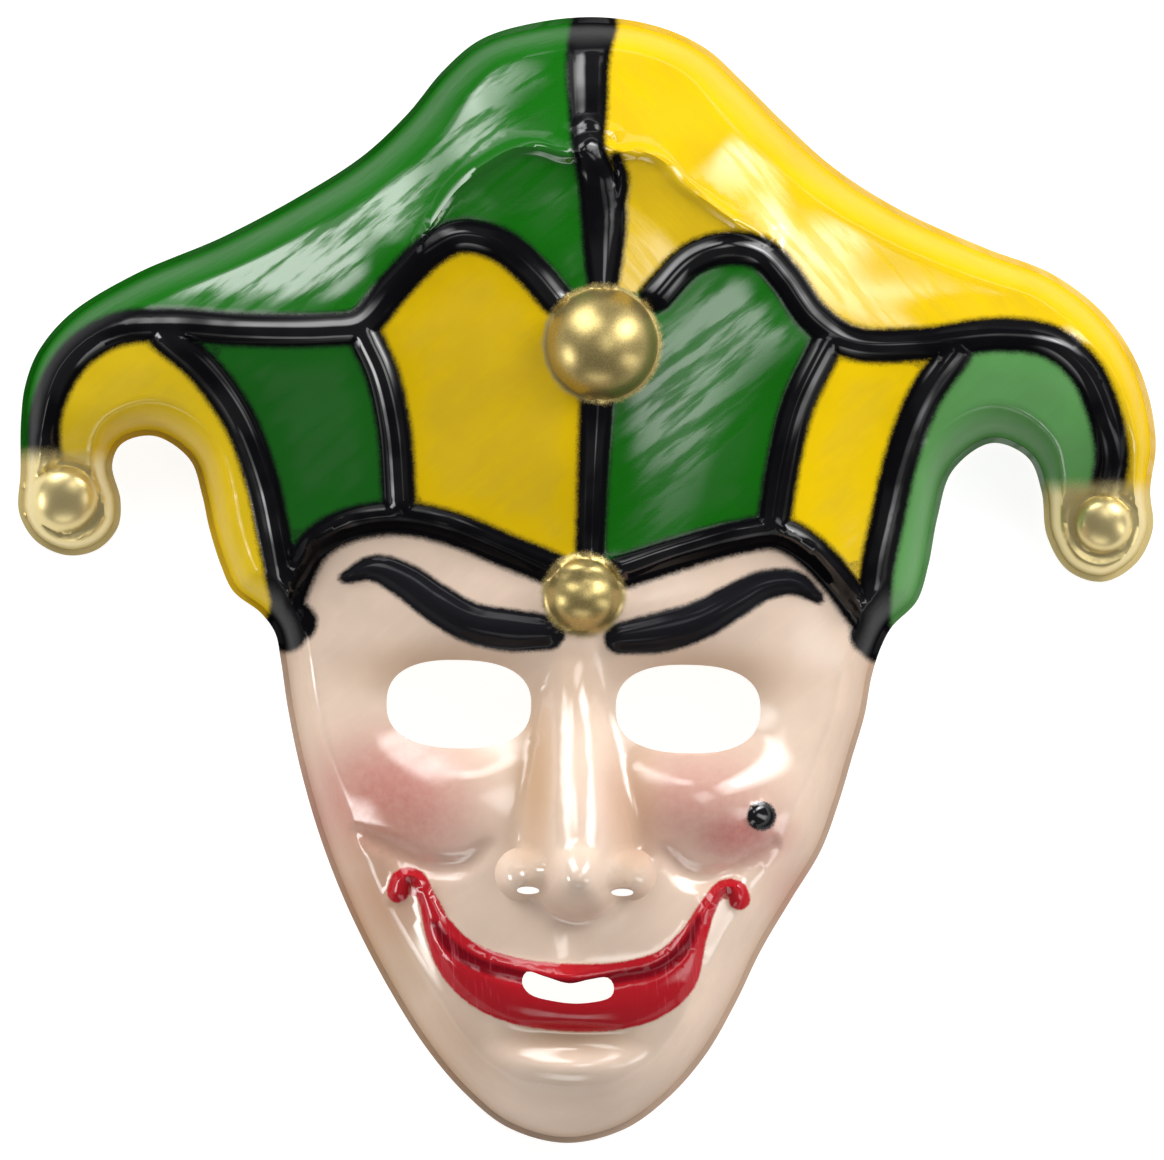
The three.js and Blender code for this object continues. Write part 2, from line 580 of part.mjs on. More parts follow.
function addRimCorners() {
  outlineRing.forEach((point) => corners.push(point));
  const count = outlineRing.length;
  const upSide = (height) => RIM_FLANGE + Math.max(WALL, height) / SIDE_STEEPNESS;
  const insets = (depth) => {
    const turn = TURN_RINGS.map((share) => upSide(depth + share * turnRounding(depth)));
    return [RIM_FLANGE, ...turn];
  };
  for (let ring = 0; ring <= TURN_RINGS.length; ring += 1) {
    for (let i = 0; i < count; i += 1) {
      const here = outlineRing[i];
      const before = outlineRing[(i + count - 1) % count];
      const after = outlineRing[(i + 1) % count];
      const inward = new THREE.Vector2(after.y - before.y, before.x - after.x).normalize();
      const probe = here.clone().addScaledVector(inward, PROBE_INSET);
      const inset = insets(frontHeight(probe.x, probe.y))[ring];
      const point = here.clone().addScaledVector(inward, inset);
      // Where the outline turns sharply, a ring that comes nearer another edge stops
      const clear = edgeDistance(point.x, point.y) > 0.9 * inset;
      if (clear) addCorner(point.x, point.y, 1.3 * LEAST_GAP);
    }
  }
}

function addHoleCorners() {
  holes.forEach((hole) => hole.forEach((point) => corners.push(point)));
  const addBorder = (ring, width) => ring.forEach((p) => addCorner(p.x, p.y, 0.6 * width));
  eyePlaces.forEach((eye) => addBorder(eyeRing(eye, EYE_BORDER, EYE_POINTS), EYE_BORDER));
  addBorder(mouthRing(MOUTH_BORDER, MOUTH_STEP), MOUTH_BORDER);
  nostrilPlaces.forEach((nostril) => addBorder(nostrilRing(nostril, NOSTRIL_BORDER), NOSTRIL_BORDER));
}

// Rings of corners round a middle: each is turned by half a step from the one inside it,
// but the last two line up, so that the foot of the form is clean
function addRound(centre, radius, rings, count) {
  addCorner(centre.x, centre.y, LEAST_GAP);
  rings.forEach((share, ring) => {
    const halfStep = ring % 2 === 1 && ring < rings.length - 1 ? 0.5 : 0;
    for (let i = 0; i < count; i += 1) {
      const turn = 2 * Math.PI * (i + halfStep) / count;
      const x = centre.x + share * radius * Math.cos(turn);
      const y = centre.y + share * radius * Math.sin(turn);
      addCorner(x, y, LEAST_GAP);
    }
  });
}

function roundCount(radius) {
  return Math.ceil(2 * Math.PI * radius / FACET) + 2;
}

function addRoundForms() {
  for (const { at, radius, collar } of BELLS) {
    const rim = radius + collar * BELL_COLLAR_WIDTH;
    addRound(place(at), radius, BELL_RINGS, roundCount(radius));
    addRound(place(at), rim, RIM_RINGS, roundCount(radius));
  }
  addRound(spotPlace, SPOT_WIDTH / 2, SPOT_RINGS, roundCount(SPOT_WIDTH / 2));
  for (const wing of NOSE_WINGS) {
    addRound(onNose(wing), NOSE_WING_WIDTH / 2, WING_RINGS, roundCount(NOSE_WING_WIDTH / 2));
  }
}

// Rows of corners along a stroke, at shares of its half width
function addRows(stations, shares) {
  const stride = Math.round(FACET / FINE_STEP);
  for (const share of shares) {
    for (let i = 0; i < stations.length; i += stride) {
      const here = stations[i];
      const before = stations[Math.max(0, i - 1)];
      const after = stations[Math.min(stations.length - 1, i + 1)];
      const aside = new THREE.Vector2(before.y - after.y, after.x - before.x).normalize();
      aside.multiplyScalar(share * here.reach).add(here);
      const inBell = BELLS.some(({ at, radius }) => place(at).distanceTo(here) < radius);
      if (!inBell) addCorner(aside.x, aside.y, 2 * LEAST_GAP);
    }
  }
}

function addFill() {
  const rowStep = FILL_FACET * Math.sqrt(3) / 2;
  const rows = Math.ceil(MASK_HEIGHT / rowStep);
  const columns = Math.ceil(MASK_WIDTH / FILL_FACET);
  for (let row = 0; row <= rows; row += 1) {
    for (let column = 0; column <= columns; column += 1) {
      const x = -HALF_WIDTH + (column + 0.5 * (row % 2)) * FILL_FACET;
      addCorner(x, -HALF_HEIGHT + row * rowStep, 0.62 * FILL_FACET);
    }
  }
}

addRimCorners();
addHoleCorners();
addRoundForms();
addRows(noseStroke, NOSE_ROWS);
[...pipingStrokes, ...browStrokes].forEach((stations) => addRows(stations, RIB_ROWS));
addRows(lipStroke, LIP_ROWS);
addRows(mouthLineStroke, MIDDLE_ROW);
creaseStrokes.forEach((stations) => addRows(stations, CREASE_ROWS));
crestStrokes.forEach((stations) => addRows(stations, MIDDLE_ROW));
addFill();

// Triangles between the corners, so that no corner lies inside the circle of another's
// facet. Each corner is put in by turns: the facets whose circle holds it are taken out,
// and the hole they leave is closed with facets that meet at it.
function circleOf(points, triangle) {
  const [a, b, c] = triangle.map((index) => points[index]);
  const cross = 2 * ((b.x - a.x) * (c.y - a.y) - (b.y - a.y) * (c.x - a.x));
  const bb = (b.x - a.x) ** 2 + (b.y - a.y) ** 2;
  const cc = (c.x - a.x) ** 2 + (c.y - a.y) ** 2;
  const x = ((c.y - a.y) * bb - (b.y - a.y) * cc) / cross;
  const y = ((b.x - a.x) * cc - (c.x - a.x) * bb) / cross;
  return { x: a.x + x, y: a.y + y, square: x * x + y * y };
}

function triangulate(sites) {
  const far = 20 * (MASK_WIDTH + MASK_HEIGHT);
  // A thousandth of unevenness keeps four corners off one circle
  const uneven = (p, i) => new THREE.Vector2(p.x + 1e-3 * Math.sin(7 * i), p.y + 1e-3 * Math.cos(11 * i));
  const points = sites.map(uneven);
  const first = points.length;
  points.push(new THREE.Vector2(-far, -far), new THREE.Vector2(far, -far), new THREE.Vector2(0, far));
  const facet = (a, b, c) => ({ corners: [a, b, c], circle: circleOf(points, [a, b, c]) });
  let facets = [facet(first, first + 1, first + 2)];
  for (let index = 0; index < first; index += 1) {
    const { x, y } = points[index];
    const kept = [];
    const edges = new Map();
    for (const one of facets) {
      const { circle } = one;
      if ((x - circle.x) ** 2 + (y - circle.y) ** 2 >= circle.square) {
        kept.push(one);
        continue;
      }
      one.corners.forEach((from, side) => {
        const to = one.corners[(side + 1) % 3];
        const twin = `${to},${from}`;
        if (edges.has(twin)) edges.delete(twin);
        else edges.set(`${from},${to}`, [from, to]);
      });
    }
    for (const [from, to] of edges.values()) kept.push(facet(from, to, index));
    facets = kept;
  }
  return facets.map((one) => one.corners).filter((triangle) => triangle.every((index) => index < first));
}

// The closed sheet: outer facets, inner facets turned over, and a strip along every edge
function maskGeometry() {
  const kept = triangulate(corners).filter((triangle) => {
    const [a, b, c] = triangle.map((index) => corners[index]);
    return onSheet((a.x + b.x + c.x) / 3, (a.y + b.y + c.y) / 3);
  });
  const count = corners.length;
  const positions = new Float32Array(6 * count);
  corners.forEach(({ x, y }, index) => {
    const outer = outerHeight(x, y);
    positions.set([x, y, outer], 3 * index);
    positions.set([x, y, innerHeight(x, y, outer)], 3 * (count + index));
  });
  const faces = [];
  const open = new Map();
  for (const [a, b, c] of kept) {
    faces.push(a, b, c, count + a, count + c, count + b);
    for (const [from, to] of [[a, b], [b, c], [c, a]]) {
      if (open.has(`${to},${from}`)) open.delete(`${to},${from}`);
      else open.set(`${from},${to}`, [from, to]);
    }
  }
  for (const [from, to] of open.values()) {
    faces.push(from, count + from, to, to, count + from, count + to);
  }
  const geometry = new THREE.BufferGeometry();
  geometry.setAttribute('position', new THREE.BufferAttribute(positions, 3));
  geometry.setIndex(faces);
  return geometry;
}

// Skin-coloured plastic; the cap's greens, yellows, black and gold are sprayed over it
const paintedPlastic = new THREE.MeshStandardMaterial({ color: 0xdac3aa, roughness: 0.18, metalness: 0 });

const mask = new THREE.Group();
const shell = new THREE.Mesh(maskGeometry(), paintedPlastic);
shell.name = 'mask_shell';
mask.add(shell);

export default mask;
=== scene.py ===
import math

import bpy
import numpy as np
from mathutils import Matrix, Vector, geometry


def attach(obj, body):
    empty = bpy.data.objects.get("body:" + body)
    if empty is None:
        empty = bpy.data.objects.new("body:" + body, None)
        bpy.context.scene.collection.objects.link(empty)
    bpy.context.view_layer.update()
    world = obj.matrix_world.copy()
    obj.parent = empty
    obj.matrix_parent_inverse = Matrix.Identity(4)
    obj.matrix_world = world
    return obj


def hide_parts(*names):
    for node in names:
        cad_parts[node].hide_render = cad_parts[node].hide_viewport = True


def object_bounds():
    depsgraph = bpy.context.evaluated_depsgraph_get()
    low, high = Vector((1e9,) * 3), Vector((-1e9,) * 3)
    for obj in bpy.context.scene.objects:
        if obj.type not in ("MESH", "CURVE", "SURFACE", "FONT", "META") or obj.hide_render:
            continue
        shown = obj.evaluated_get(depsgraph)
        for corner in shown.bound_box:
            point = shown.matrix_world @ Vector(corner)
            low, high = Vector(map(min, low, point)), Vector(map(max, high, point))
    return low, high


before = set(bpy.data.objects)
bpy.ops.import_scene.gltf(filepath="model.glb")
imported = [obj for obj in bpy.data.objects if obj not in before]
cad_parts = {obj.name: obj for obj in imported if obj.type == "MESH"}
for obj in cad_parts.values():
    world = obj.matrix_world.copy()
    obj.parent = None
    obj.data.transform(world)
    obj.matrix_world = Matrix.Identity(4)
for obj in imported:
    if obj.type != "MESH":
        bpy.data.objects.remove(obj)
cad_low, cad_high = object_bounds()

# A jester mask: one sheet of plastic formed over a mould, sprayed and glazed, lying face up
# on its rim. Sizes are in millimetres until the sheet's points are moved, which puts them
# in metres. x runs to the viewer's right, y up the face, z out of it.
MM = 0.001

MASK_WIDTH = 325
MASK_HEIGHT = 322
FRONT_DEPTH = 60
WALL = 1
RIM_FLANGE = 1.6
SIDE_STEEPNESS = 5.5
EDGE_ROUNDING = 30

CAP_LIFT = 5
CAP_LIFT_RUN = 7
PIPING_WIDTH = 8.6
PIPING_HEIGHT = 3.2
STRAND_WIDTH = 3.8
STRAND_HEIGHT = 2.0
CREST_FOLD_WIDTH = 38
CREST_FOLD_HEIGHT = 5
WRINKLE_WIDTH = 6
WRINKLE_HEIGHT = 1.5

BELL_COLLAR_WIDTH = 2.6
BELL_COLLAR_HEIGHT = 2.2
TIP_SINK = 8
TIP_SINK_REACH = 30
TIP_ROLL_HEIGHT = 0.8

EYE_SPACING = 65
EYE_WIDTH = 41
EYE_HEIGHT = 25
EYE_SQUARENESS = 2.5
MOUTH_WIDTH = 26
MOUTH_OPENING = 8.6
NOSTRIL_SPACING = 26.6
NOSTRIL_WIDTH = 6.4
NOSTRIL_OPENING = 2.2

BROW_WIDTH = 10
BROW_HEIGHT = 3.4
NOSE_LENGTH = 64
NOSE_WIDTH = 36
NOSE_HEIGHT = 25
NOSE_WING_WIDTH = 15
NOSE_WING_HEIGHT = 7.5
GRIN_WIDTH = 97.5
GRIN_HEIGHT = 44
LIP_WIDTH = 19
LIP_HEIGHT = 4.2
MOUTH_LINE_WIDTH = 5
MOUTH_LINE_DEPTH = 1.4
FACE_CREASE_WIDTH = 9
FACE_CREASE_DEPTH = 2.4
FACE_RELIEF = 8
SPOT_WIDTH = 8
SPOT_HEIGHT = 2.8

# How far apart the sheet's points are: along edges and ribs, and on plain ground
FINE = 1.25
PLAIN = 1.9

HALF = np.array([MASK_WIDTH / 2, MASK_HEIGHT / 2])

# Outline, clockwise from the top: shares of half the width and height
OUTLINE = [
  [0.006, 0.999], [0.111, 0.983], [0.191, 0.947], [0.255, 0.891], [0.332, 0.817],
  [0.418, 0.742], [0.535, 0.670], [0.683, 0.606], [0.812, 0.558], [0.908, 0.483],
  [0.969, 0.385], [0.996, 0.267], [0.988, 0.180], [0.994, 0.112], [0.966, 0.050],
  [0.908, 0.016], [0.846, 0.035], [0.808, 0.096], [0.797, 0.174], [0.772, 0.233],
  [0.708, 0.258], [0.640, 0.208], [0.615, 0.124], [0.601, 0.040], [0.582, -0.025],
  [0.538, -0.073], [0.519, -0.112], [0.505, -0.161], [0.494, -0.230], [0.474, -0.304],
  [0.452, -0.385], [0.422, -0.472], [0.372, -0.559], [0.320, -0.652], [0.278, -0.745],
  [0.228, -0.837], [0.165, -0.914], [0.086, -0.974], [-0.015, -1.000], [-0.117, -0.975],
  [-0.191, -0.919], [-0.262, -0.839], [-0.335, -0.727], [-0.406, -0.593], [-0.457, -0.470],
  [-0.495, -0.348], [-0.520, -0.239], [-0.535, -0.149], [-0.545, -0.106], [-0.571, -0.071],
  [-0.620, -0.034], [-0.643, 0.012], [-0.665, 0.078], [-0.679, 0.137], [-0.702, 0.199],
  [-0.765, 0.239], [-0.822, 0.224], [-0.838, 0.186], [-0.822, 0.124], [-0.826, 0.075],
  [-0.860, 0.036], [-0.913, 0.024], [-0.969, 0.048], [-1.000, 0.099], [-0.999, 0.168],
  [-1.000, 0.261], [-0.994, 0.323], [-0.972, 0.385], [-0.917, 0.453], [-0.806, 0.525],
  [-0.652, 0.595], [-0.517, 0.671], [-0.409, 0.744], [-0.332, 0.820], [-0.271, 0.898],
  [-0.206, 0.955], [-0.105, 0.988],
]

# Depth of the bare front as shares of FRONT_DEPTH: a row for each level, a column for each
# distance from the middle
DEPTH_COLUMNS = [0, 0.2, 0.35, 0.5, 0.65, 0.8, 0.95]
DEPTH_ROWS = [
  (1.00, [0.34, 0.34, 0.34, 0.34, 0.34, 0.34, 0.32]),
  (0.88, [0.57, 0.50, 0.37, 0.34, 0.34, 0.34, 0.32]),
  (0.76, [0.77, 0.70, 0.49, 0.38, 0.34, 0.34, 0.32]),
  (0.62, [0.83, 0.80, 0.68, 0.52, 0.40, 0.35, 0.32]),
  (0.52, [0.85, 0.82, 0.75, 0.64, 0.51, 0.40, 0.32]),
  (0.43, [0.86, 0.83, 0.78, 0.70, 0.62, 0.51, 0.34]),
  (0.24, [0.87, 0.83, 0.74, 0.62, 0.48, 0.36, 0.28]),
  (0.08, [0.85, 0.81, 0.70, 0.54, 0.34, 0.20, 0.20]),
  (-0.06, [0.84, 0.79, 0.66, 0.47, 0.33, 0.18, 0.18]),
  (-0.20, [0.78, 0.73, 0.62, 0.43, 0.32, 0.18, 0.18]),
  (-0.38, [0.83, 0.78, 0.66, 0.45, 0.32, 0.18, 0.18]),
  (-0.55, [0.87, 0.79, 0.61, 0.42, 0.32, 0.18, 0.18]),
  (-0.70, [0.87, 0.75, 0.52, 0.38, 0.30, 0.18, 0.18]),
  (-0.84, [0.79, 0.64, 0.42, 0.32, 0.25, 0.18, 0.18]),
  (-0.93, [0.59, 0.46, 0.33, 0.28, 0.22, 0.18, 0.18]),
  (-1.00, [0.32, 0.29, 0.25, 0.22, 0.20, 0.18, 0.18]),
]

# Piping: x, y, then the width as a share of PIPING_WIDTH where it isn't 1
PIPING = {
  "leftSweep": [
    [-0.060, 0.493], [-0.098, 0.536], [-0.160, 0.586], [-0.230, 0.599], [-0.282, 0.571],
    [-0.342, 0.508], [-0.398, 0.441], [-0.454, 0.431], [-0.611, 0.428], [-0.734, 0.434],
    [-0.830, 0.423], [-0.899, 0.378], [-0.941, 0.306], [-0.954, 0.244], [-0.949, 0.188],
  ],
  "rightSweep": [
    [0.113, 0.500], [0.173, 0.565], [0.233, 0.587], [0.295, 0.580], [0.339, 0.537],
    [0.388, 0.471], [0.455, 0.428], [0.578, 0.427], [0.717, 0.448], [0.805, 0.437],
    [0.867, 0.389], [0.904, 0.311], [0.919, 0.240], [0.912, 0.175],
  ],
  "topSeam": [
    [-0.004, 0.985, 1.4], [-0.013, 0.917, 1.3], [-0.011, 0.829, 1.15], [-0.008, 0.756, 0.98],
    [0.008, 0.705, 1.2], [0.019, 0.655, 1.4], [0.021, 0.581, 1.22], [0.021, 0.519, 0.9],
  ],
  "frontSeam": [[0.015, 0.309], [0.011, 0.177, 0.9], [0.009, 0.035, 0.85]],
  "leftInner": [[-0.393, 0.424], [-0.360, 0.354], [-0.337, 0.258], [-0.325, 0.125]],
  "rightInner": [[0.413, 0.424], [0.365, 0.317], [0.341, 0.210], [0.326, 0.099]],
  "leftOuter": [
    [-0.742, 0.416], [-0.671, 0.356], [-0.608, 0.269], [-0.567, 0.164], [-0.542, 0.059],
    [-0.519, -0.046], [-0.508, -0.090],
  ],
  "rightOuter": [
    [0.639, 0.416], [0.588, 0.339], [0.552, 0.241], [0.526, 0.117], [0.508, 0.011],
    [0.510, -0.077],
  ],
  "leftBrim": [
    [-0.525, -0.082], [-0.509, -0.020], [-0.472, 0.052], [-0.412, 0.088], [-0.325, 0.102],
    [-0.237, 0.087], [-0.140, 0.050], [-0.043, 0.013],
  ],
  "rightBrim": [
    [0.062, 0.015], [0.166, 0.051], [0.261, 0.080], [0.336, 0.090], [0.397, 0.056],
    [0.456, -0.008], [0.501, -0.069], [0.519, -0.095],
  ],
}

# The short strand that joins the top seam under the crest
STRAND = [[0.040, 0.742, 0.6], [0.048, 0.705], [0.044, 0.665], [0.034, 0.630, 0.8]]

CREST_FOLDS = [
  [[-0.030, 0.753, 0.6], [-0.117, 0.761], [-0.200, 0.716], [-0.265, 0.640], [-0.305, 0.571]],
  [[0.029, 0.752, 0.6], [0.110, 0.747], [0.152, 0.715], [0.193, 0.675], [0.246, 0.639]],
]

# The sharp line along the crest, and the ripples beside it
WRINKLES = [
    [
        [-0.300, 0.590, 0.6], [-0.241, 0.684], [-0.191, 0.725], [-0.138, 0.755],
        [-0.096, 0.757], [-0.043, 0.744, 0.9], [-0.015, 0.768], [0.004, 0.775, 0.9],
        [0.022, 0.760], [0.044, 0.752, 0.9], [0.079, 0.755], [0.123, 0.736], [0.150, 0.702],
        [0.194, 0.672], [0.246, 0.637, 0.9], [0.282, 0.619, 0.8], [0.317, 0.595, 0.5],
    ],
    [[-0.040, 0.790, 0.5], [-0.010, 0.806, 0.9], [0.036, 0.786, 0.5]],
]

# Bells: place, radius, how wide their collar is, how far the gold is sprayed past it, and
# at the horn tips the level over the bell where it ends
BELLS = [
    {"at": [0.022, 0.415], "radius": 15.8, "collar": 0.45, "spray": -0.2, "top": 0},
    {"at": [-0.001, -0.026], "radius": 10.4, "collar": 1.0, "spray": -1.2, "top": 0},
    {"at": [-0.915, 0.124], "radius": 9.6, "collar": 0.7, "spray": 9, "top": 12.2},
    {"at": [0.908, 0.118], "radius": 8.4, "collar": 0.7, "spray": 9, "top": 10.5},
]

BROWS = [
  [
    [-0.419, -0.005, 0.2], [-0.367, 0.013, 0.6], [-0.314, -0.007, 0.85],
    [-0.260, -0.044, 0.95], [-0.199, -0.078, 1], [-0.128, -0.091, 1.05], [-0.062, -0.093, 0.85],
  ],
  [
    [0.064, -0.101, 0.75], [0.134, -0.089, 1], [0.203, -0.066, 0.95], [0.264, -0.030, 0.85],
    [0.316, -0.002, 0.7], [0.368, 0.003, 0.55], [0.409, -0.023, 0.2],
  ],
]

EYES_MIDDLE = [-0.0145, -0.223]
MOUTH_AT = [-0.0155, -0.715]
MOUTH_EDGE = [
  [-0.88, 0.95], [-0.48, 0.67], [0.05, 0.26], [0.50, 0.55], [0.89, 0.67], [1.02, 0.12],
  [0.96, -0.55], [0.37, -1.02], [-0.22, -0.95], [-0.81, -0.48], [-0.98, 0.26],
]
LIPS = [
  [-0.995, 0.584, 0.32, 0.6], [-0.970, 0.675, 0.27, 0.6], [-0.892, 0.686, 0.21, 0.6],
  [-0.820, 0.539, 0.27, 0.6], [-0.743, 0.334, 0.44, 0.7], [-0.605, 0.130, 0.72, 0.9],
  [-0.379, -0.007, 0.93, 1], [0, -0.068, 1, 1], [0.390, -0.030, 0.97, 1],
  [0.595, 0.084, 0.80, 0.9], [0.718, 0.311, 0.42, 0.7], [0.806, 0.527, 0.25, 0.6],
  [0.892, 0.659, 0.20, 0.6], [0.974, 0.652, 0.25, 0.6], [0.991, 0.584, 0.32, 0.6],
]
MOUTH_LINE = [
  [-0.780, 0.386, 0.6, 0.5], [-0.677, 0.239], [-0.513, 0.132], [-0.287, 0.068], [0, 0.011],
  [0.287, 0.068], [0.533, 0.136], [0.677, 0.273], [0.759, 0.455, 0.6, 0.5],
]

NOSE_ROOT = [-0.013, -0.135]
NOSE_RIDGE = [
  [0, 0, 0.50, 0.10], [-0.02, -0.20, 0.55, 0.25], [0.01, -0.42, 0.72, 0.48],
  [0.03, -0.66, 0.92, 0.74], [0.05, -0.85, 1.00, 0.88], [0.06, -0.95, 0.85, 0.88],
]
NOSE_TIP = {"at": [0.06, -0.98], "width": 0.54, "height": 0.26}
NOSE_WINGS = [[-0.39, -0.965], [0.467, -0.955]]
NOSTRILS_AT = [0.0375, -1.035]

FACE_CREASES = [
  [
    [-0.390, -0.453, 0.7, 0.6], [-0.323, -0.481], [-0.255, -0.509], [-0.200, -0.506],
    [-0.155, -0.470, 0.7, 0.5],
  ],
  [
    [0.150, -0.475, 0.7, 0.5], [0.190, -0.516], [0.235, -0.519], [0.283, -0.497],
    [0.340, -0.460, 0.7, 0.6],
  ],
]

# Swellings and hollows: place and reach as shares of half the mask, rise of FACE_RELIEF
FACE_MOUNDS = {
  "leftCheek": ([-0.240, -0.400], [0.20, 0.150], 0.6),
  "rightCheek": ([0.235, -0.382], [0.19, 0.135], 0.95),
  "chin": ([-0.012, -0.880], [0.20, 0.105], 0.75),
  "underLip": ([-0.012, -0.815], [0.15, 0.045], -0.45),
  "underNose": ([-0.012, -0.620], [0.035, 0.065], -0.15),
  "forehead": ([0, -0.045], [0.36, 0.100], 0.25),
}
SOCKET_REACH = [0.74, 0.86]
SOCKET_SINK = 0.6
SPOT_AT = [0.317, -0.408]


# ---
def smooth_values(knots, values, at):
    """Values between knots, with each knot's slope taken from its two neighbours"""
    knots = np.asarray(knots, float)
    values = np.asarray(values, float)
    if knots[0] > knots[-1]:
        knots, values = knots[::-1], values[::-1]
    runs = np.diff(knots)
    shape = (-1,) + (1,) * (values.ndim - 1)
    slopes = np.empty_like(values)
    slopes[1:-1] = (values[2:] - values[:-2]) / (runs[1:] + runs[:-1]).reshape(shape)
    slopes[0] = (values[1] - values[0]) / runs[0]
    slopes[-1] = (values[-1] - values[-2]) / runs[-1]
    i = np.clip(np.searchsorted(knots, at, side="right") - 1, 0, len(knots) - 2)
    t = np.clip((at - knots[i]) / runs[i], 0, 1)
    column = np.arange(len(i))
    if values.ndim == 1:
        pick = lambda table, row: table[row]
    else:
        pick = lambda table, row: table[row, column]
    start = (1 + 2 * t) * (1 - t) ** 2 * pick(values, i)
    start += t * (1 - t) ** 2 * runs[i] * pick(slopes, i)
    end = t * t * (3 - 2 * t) * pick(values, i + 1)
    end -= t * t * (1 - t) * runs[i] * pick(slopes, i + 1)
    return start + end


def placed(rows):
    """Points on the mask from shares of half its width and height"""
    return np.array([row[:2] for row in rows]) * HALF


def smooth_line(points, step, closed=False):
    """Even points on the smooth line through some points, and how far along the rows each is"""
    points = np.asarray(points, float)
    count = len(points)
    if closed:
        padded = np.vstack([points[-1], points, points[:2]])
        spans = count
    else:
        first = 2 * points[0] - points[1]
        last = 2 * points[-1] - points[-2]
        padded = np.vstack([first, points, last])
        spans = count - 1
    t = np.linspace(0, 1, 24, endpoint=False)[:, None]
    fine = []
    for i in range(spans):
        a, b, c, d = padded[i:i + 4]
        before, here, after = (
            max(1e-4, ((q - p) ** 2).sum()) ** 0.25 for p, q in ((a, b), (b, c), (c, d))
        )
        leave = ((b - a) / before - (c - a) / (before + here) + (c - b) / here) * here
        reach = ((c - b) / here - (d - b) / (here + after) + (d - c) / after) * here
        fine.append(
            b + leave * t + (3 * (c - b) - 2 * leave - reach) * t ** 2
            + (2 * (b - c) + leave + reach) * t ** 3
        )
    fine = np.vstack(fine + [padded[spans + 1][None]])
    along = np.linspace(0, spans, len(fine))
    length = np.concatenate([[0], np.cumsum(np.hypot(*np.diff(fine, axis=0).T))])
    stations = max(8, round(length[-1] / step))
    wanted = np.linspace(0, length[-1], stations + 1)
    if closed:
        wanted = wanted[:-1]
    even = np.stack([np.interp(wanted, length, fine[:, k]) for k in (0, 1)], axis=1)
    return even, np.interp(wanted, length, along)


class Stroke:
    """A smooth line with a half width and a height at each of its stations"""

    def __init__(self, rows, points, width, height, step=FINE):
        self.points, along = smooth_line(points, step)
        order = np.arange(len(rows))
        widths = [row[2] if len(row) > 2 else 1 for row in rows]
        heights = [row[3] if len(row) > 3 else 1 for row in rows]
        self.reach = width / 2 * smooth_values(order, widths, along)
        self.height = height * smooth_values(order, heights, along)

    def nearest(self, x, y):
        """Share of the half width that each place is off the line, with reach and height"""
        share = np.full(x.shape, 9.0)
        reach = np.full(x.shape, float(self.reach.max()))
        height = np.zeros(x.shape)
        margin = 2.2 * self.reach.max() + 6
        low, high = self.points.min(0) - margin, self.points.max(0) + margin
        near = np.flatnonzero((x > low[0]) & (x < high[0]) & (y > low[1]) & (y < high[1]))
        px, py = x[near], y[near]
        best, wide, tall = share[near], reach[near], height[near]
        for i in range(len(self.points) - 1):
            (ax, ay), (bx, by) = self.points[i], self.points[i + 1]
            dx, dy = bx - ax, by - ay
            t = np.clip(((px - ax) * dx + (py - ay) * dy) / (dx * dx + dy * dy), 0, 1)
            here = self.reach[i] + t * (self.reach[i + 1] - self.reach[i])
            off = np.hypot(px - ax - t * dx, py - ay - t * dy) / here
            closer = off < best
            best[closer] = off[closer]
            wide[closer] = here[closer]
            rise = self.height[i] + t * (self.height[i + 1] - self.height[i])
            tall[closer] = rise[closer]
        share[near], reach[near], height[near] = best, wide, tall
        return share, reach, height

    def rise(self, section, x, y):
        share, reach, height = self.nearest(x, y)
        return height * section(share)

    def beside(self, x, y):
        """Distance past the stroke's edge, less than nothing inside it"""
        share, reach, height = self.nearest(x, y)
        return (share - 1) * reach

    def rows_of_points(self, shares):
        ahead = np.gradient(self.points, axis=0)
        aside = np.stack([-ahead[:, 1], ahead[:, 0]], axis=1)
        aside /= np.hypot(*aside.T)[:, None]
        return [self.points + share * self.reach[:, None] * aside for share in shares]


def rounded_max(a, b, rounding):
    overlap = np.maximum(0, rounding - np.abs(a - b)) / rounding
    return np.maximum(a, b) + overlap ** 2 * rounding / 4


def rounded_min(a, b, rounding):
    return -rounded_max(-a, -b, rounding)


# Cross sections: t is the distance from the middle, 1 at the foot
def roll(t):
    return rounded_max(1 - np.minimum(t, 3) ** 2.4, 0, 0.4)


def rope(t):
    return rounded_max(1 - np.minimum(t, 3) ** 2, 0, 0.5)


def swell(t):
    return np.where(t < 1, (1 - np.minimum(t, 1) ** 2) ** 2, 0)


def ridge(t):
    return (1 - np.minimum(t, 1) ** 2.6) ** 2


def fold(t):
    return (1 - np.minimum(t, 1)) ** 2


def dome(t):
    return np.sqrt(1 - np.minimum(t, 1) ** 2)


def low_round(t):
    return 1 - np.minimum(t, 1) ** 2


def boss(t):
    return 1 - np.minimum(t, 1) ** 6


def strokes_of(lines, width, height):
    return [Stroke(rows, placed(rows), width, height) for rows in lines]


piping = strokes_of(PIPING.values(), PIPING_WIDTH, PIPING_HEIGHT)
piping += strokes_of([STRAND], STRAND_WIDTH, STRAND_HEIGHT)
crests = strokes_of(CREST_FOLDS, CREST_FOLD_WIDTH, CREST_FOLD_HEIGHT)
wrinkles = strokes_of(WRINKLES, WRINKLE_WIDTH, WRINKLE_HEIGHT)
brows = strokes_of(BROWS, BROW_WIDTH, BROW_HEIGHT)
creases = strokes_of(FACE_CREASES, FACE_CREASE_WIDTH, -FACE_CREASE_DEPTH)

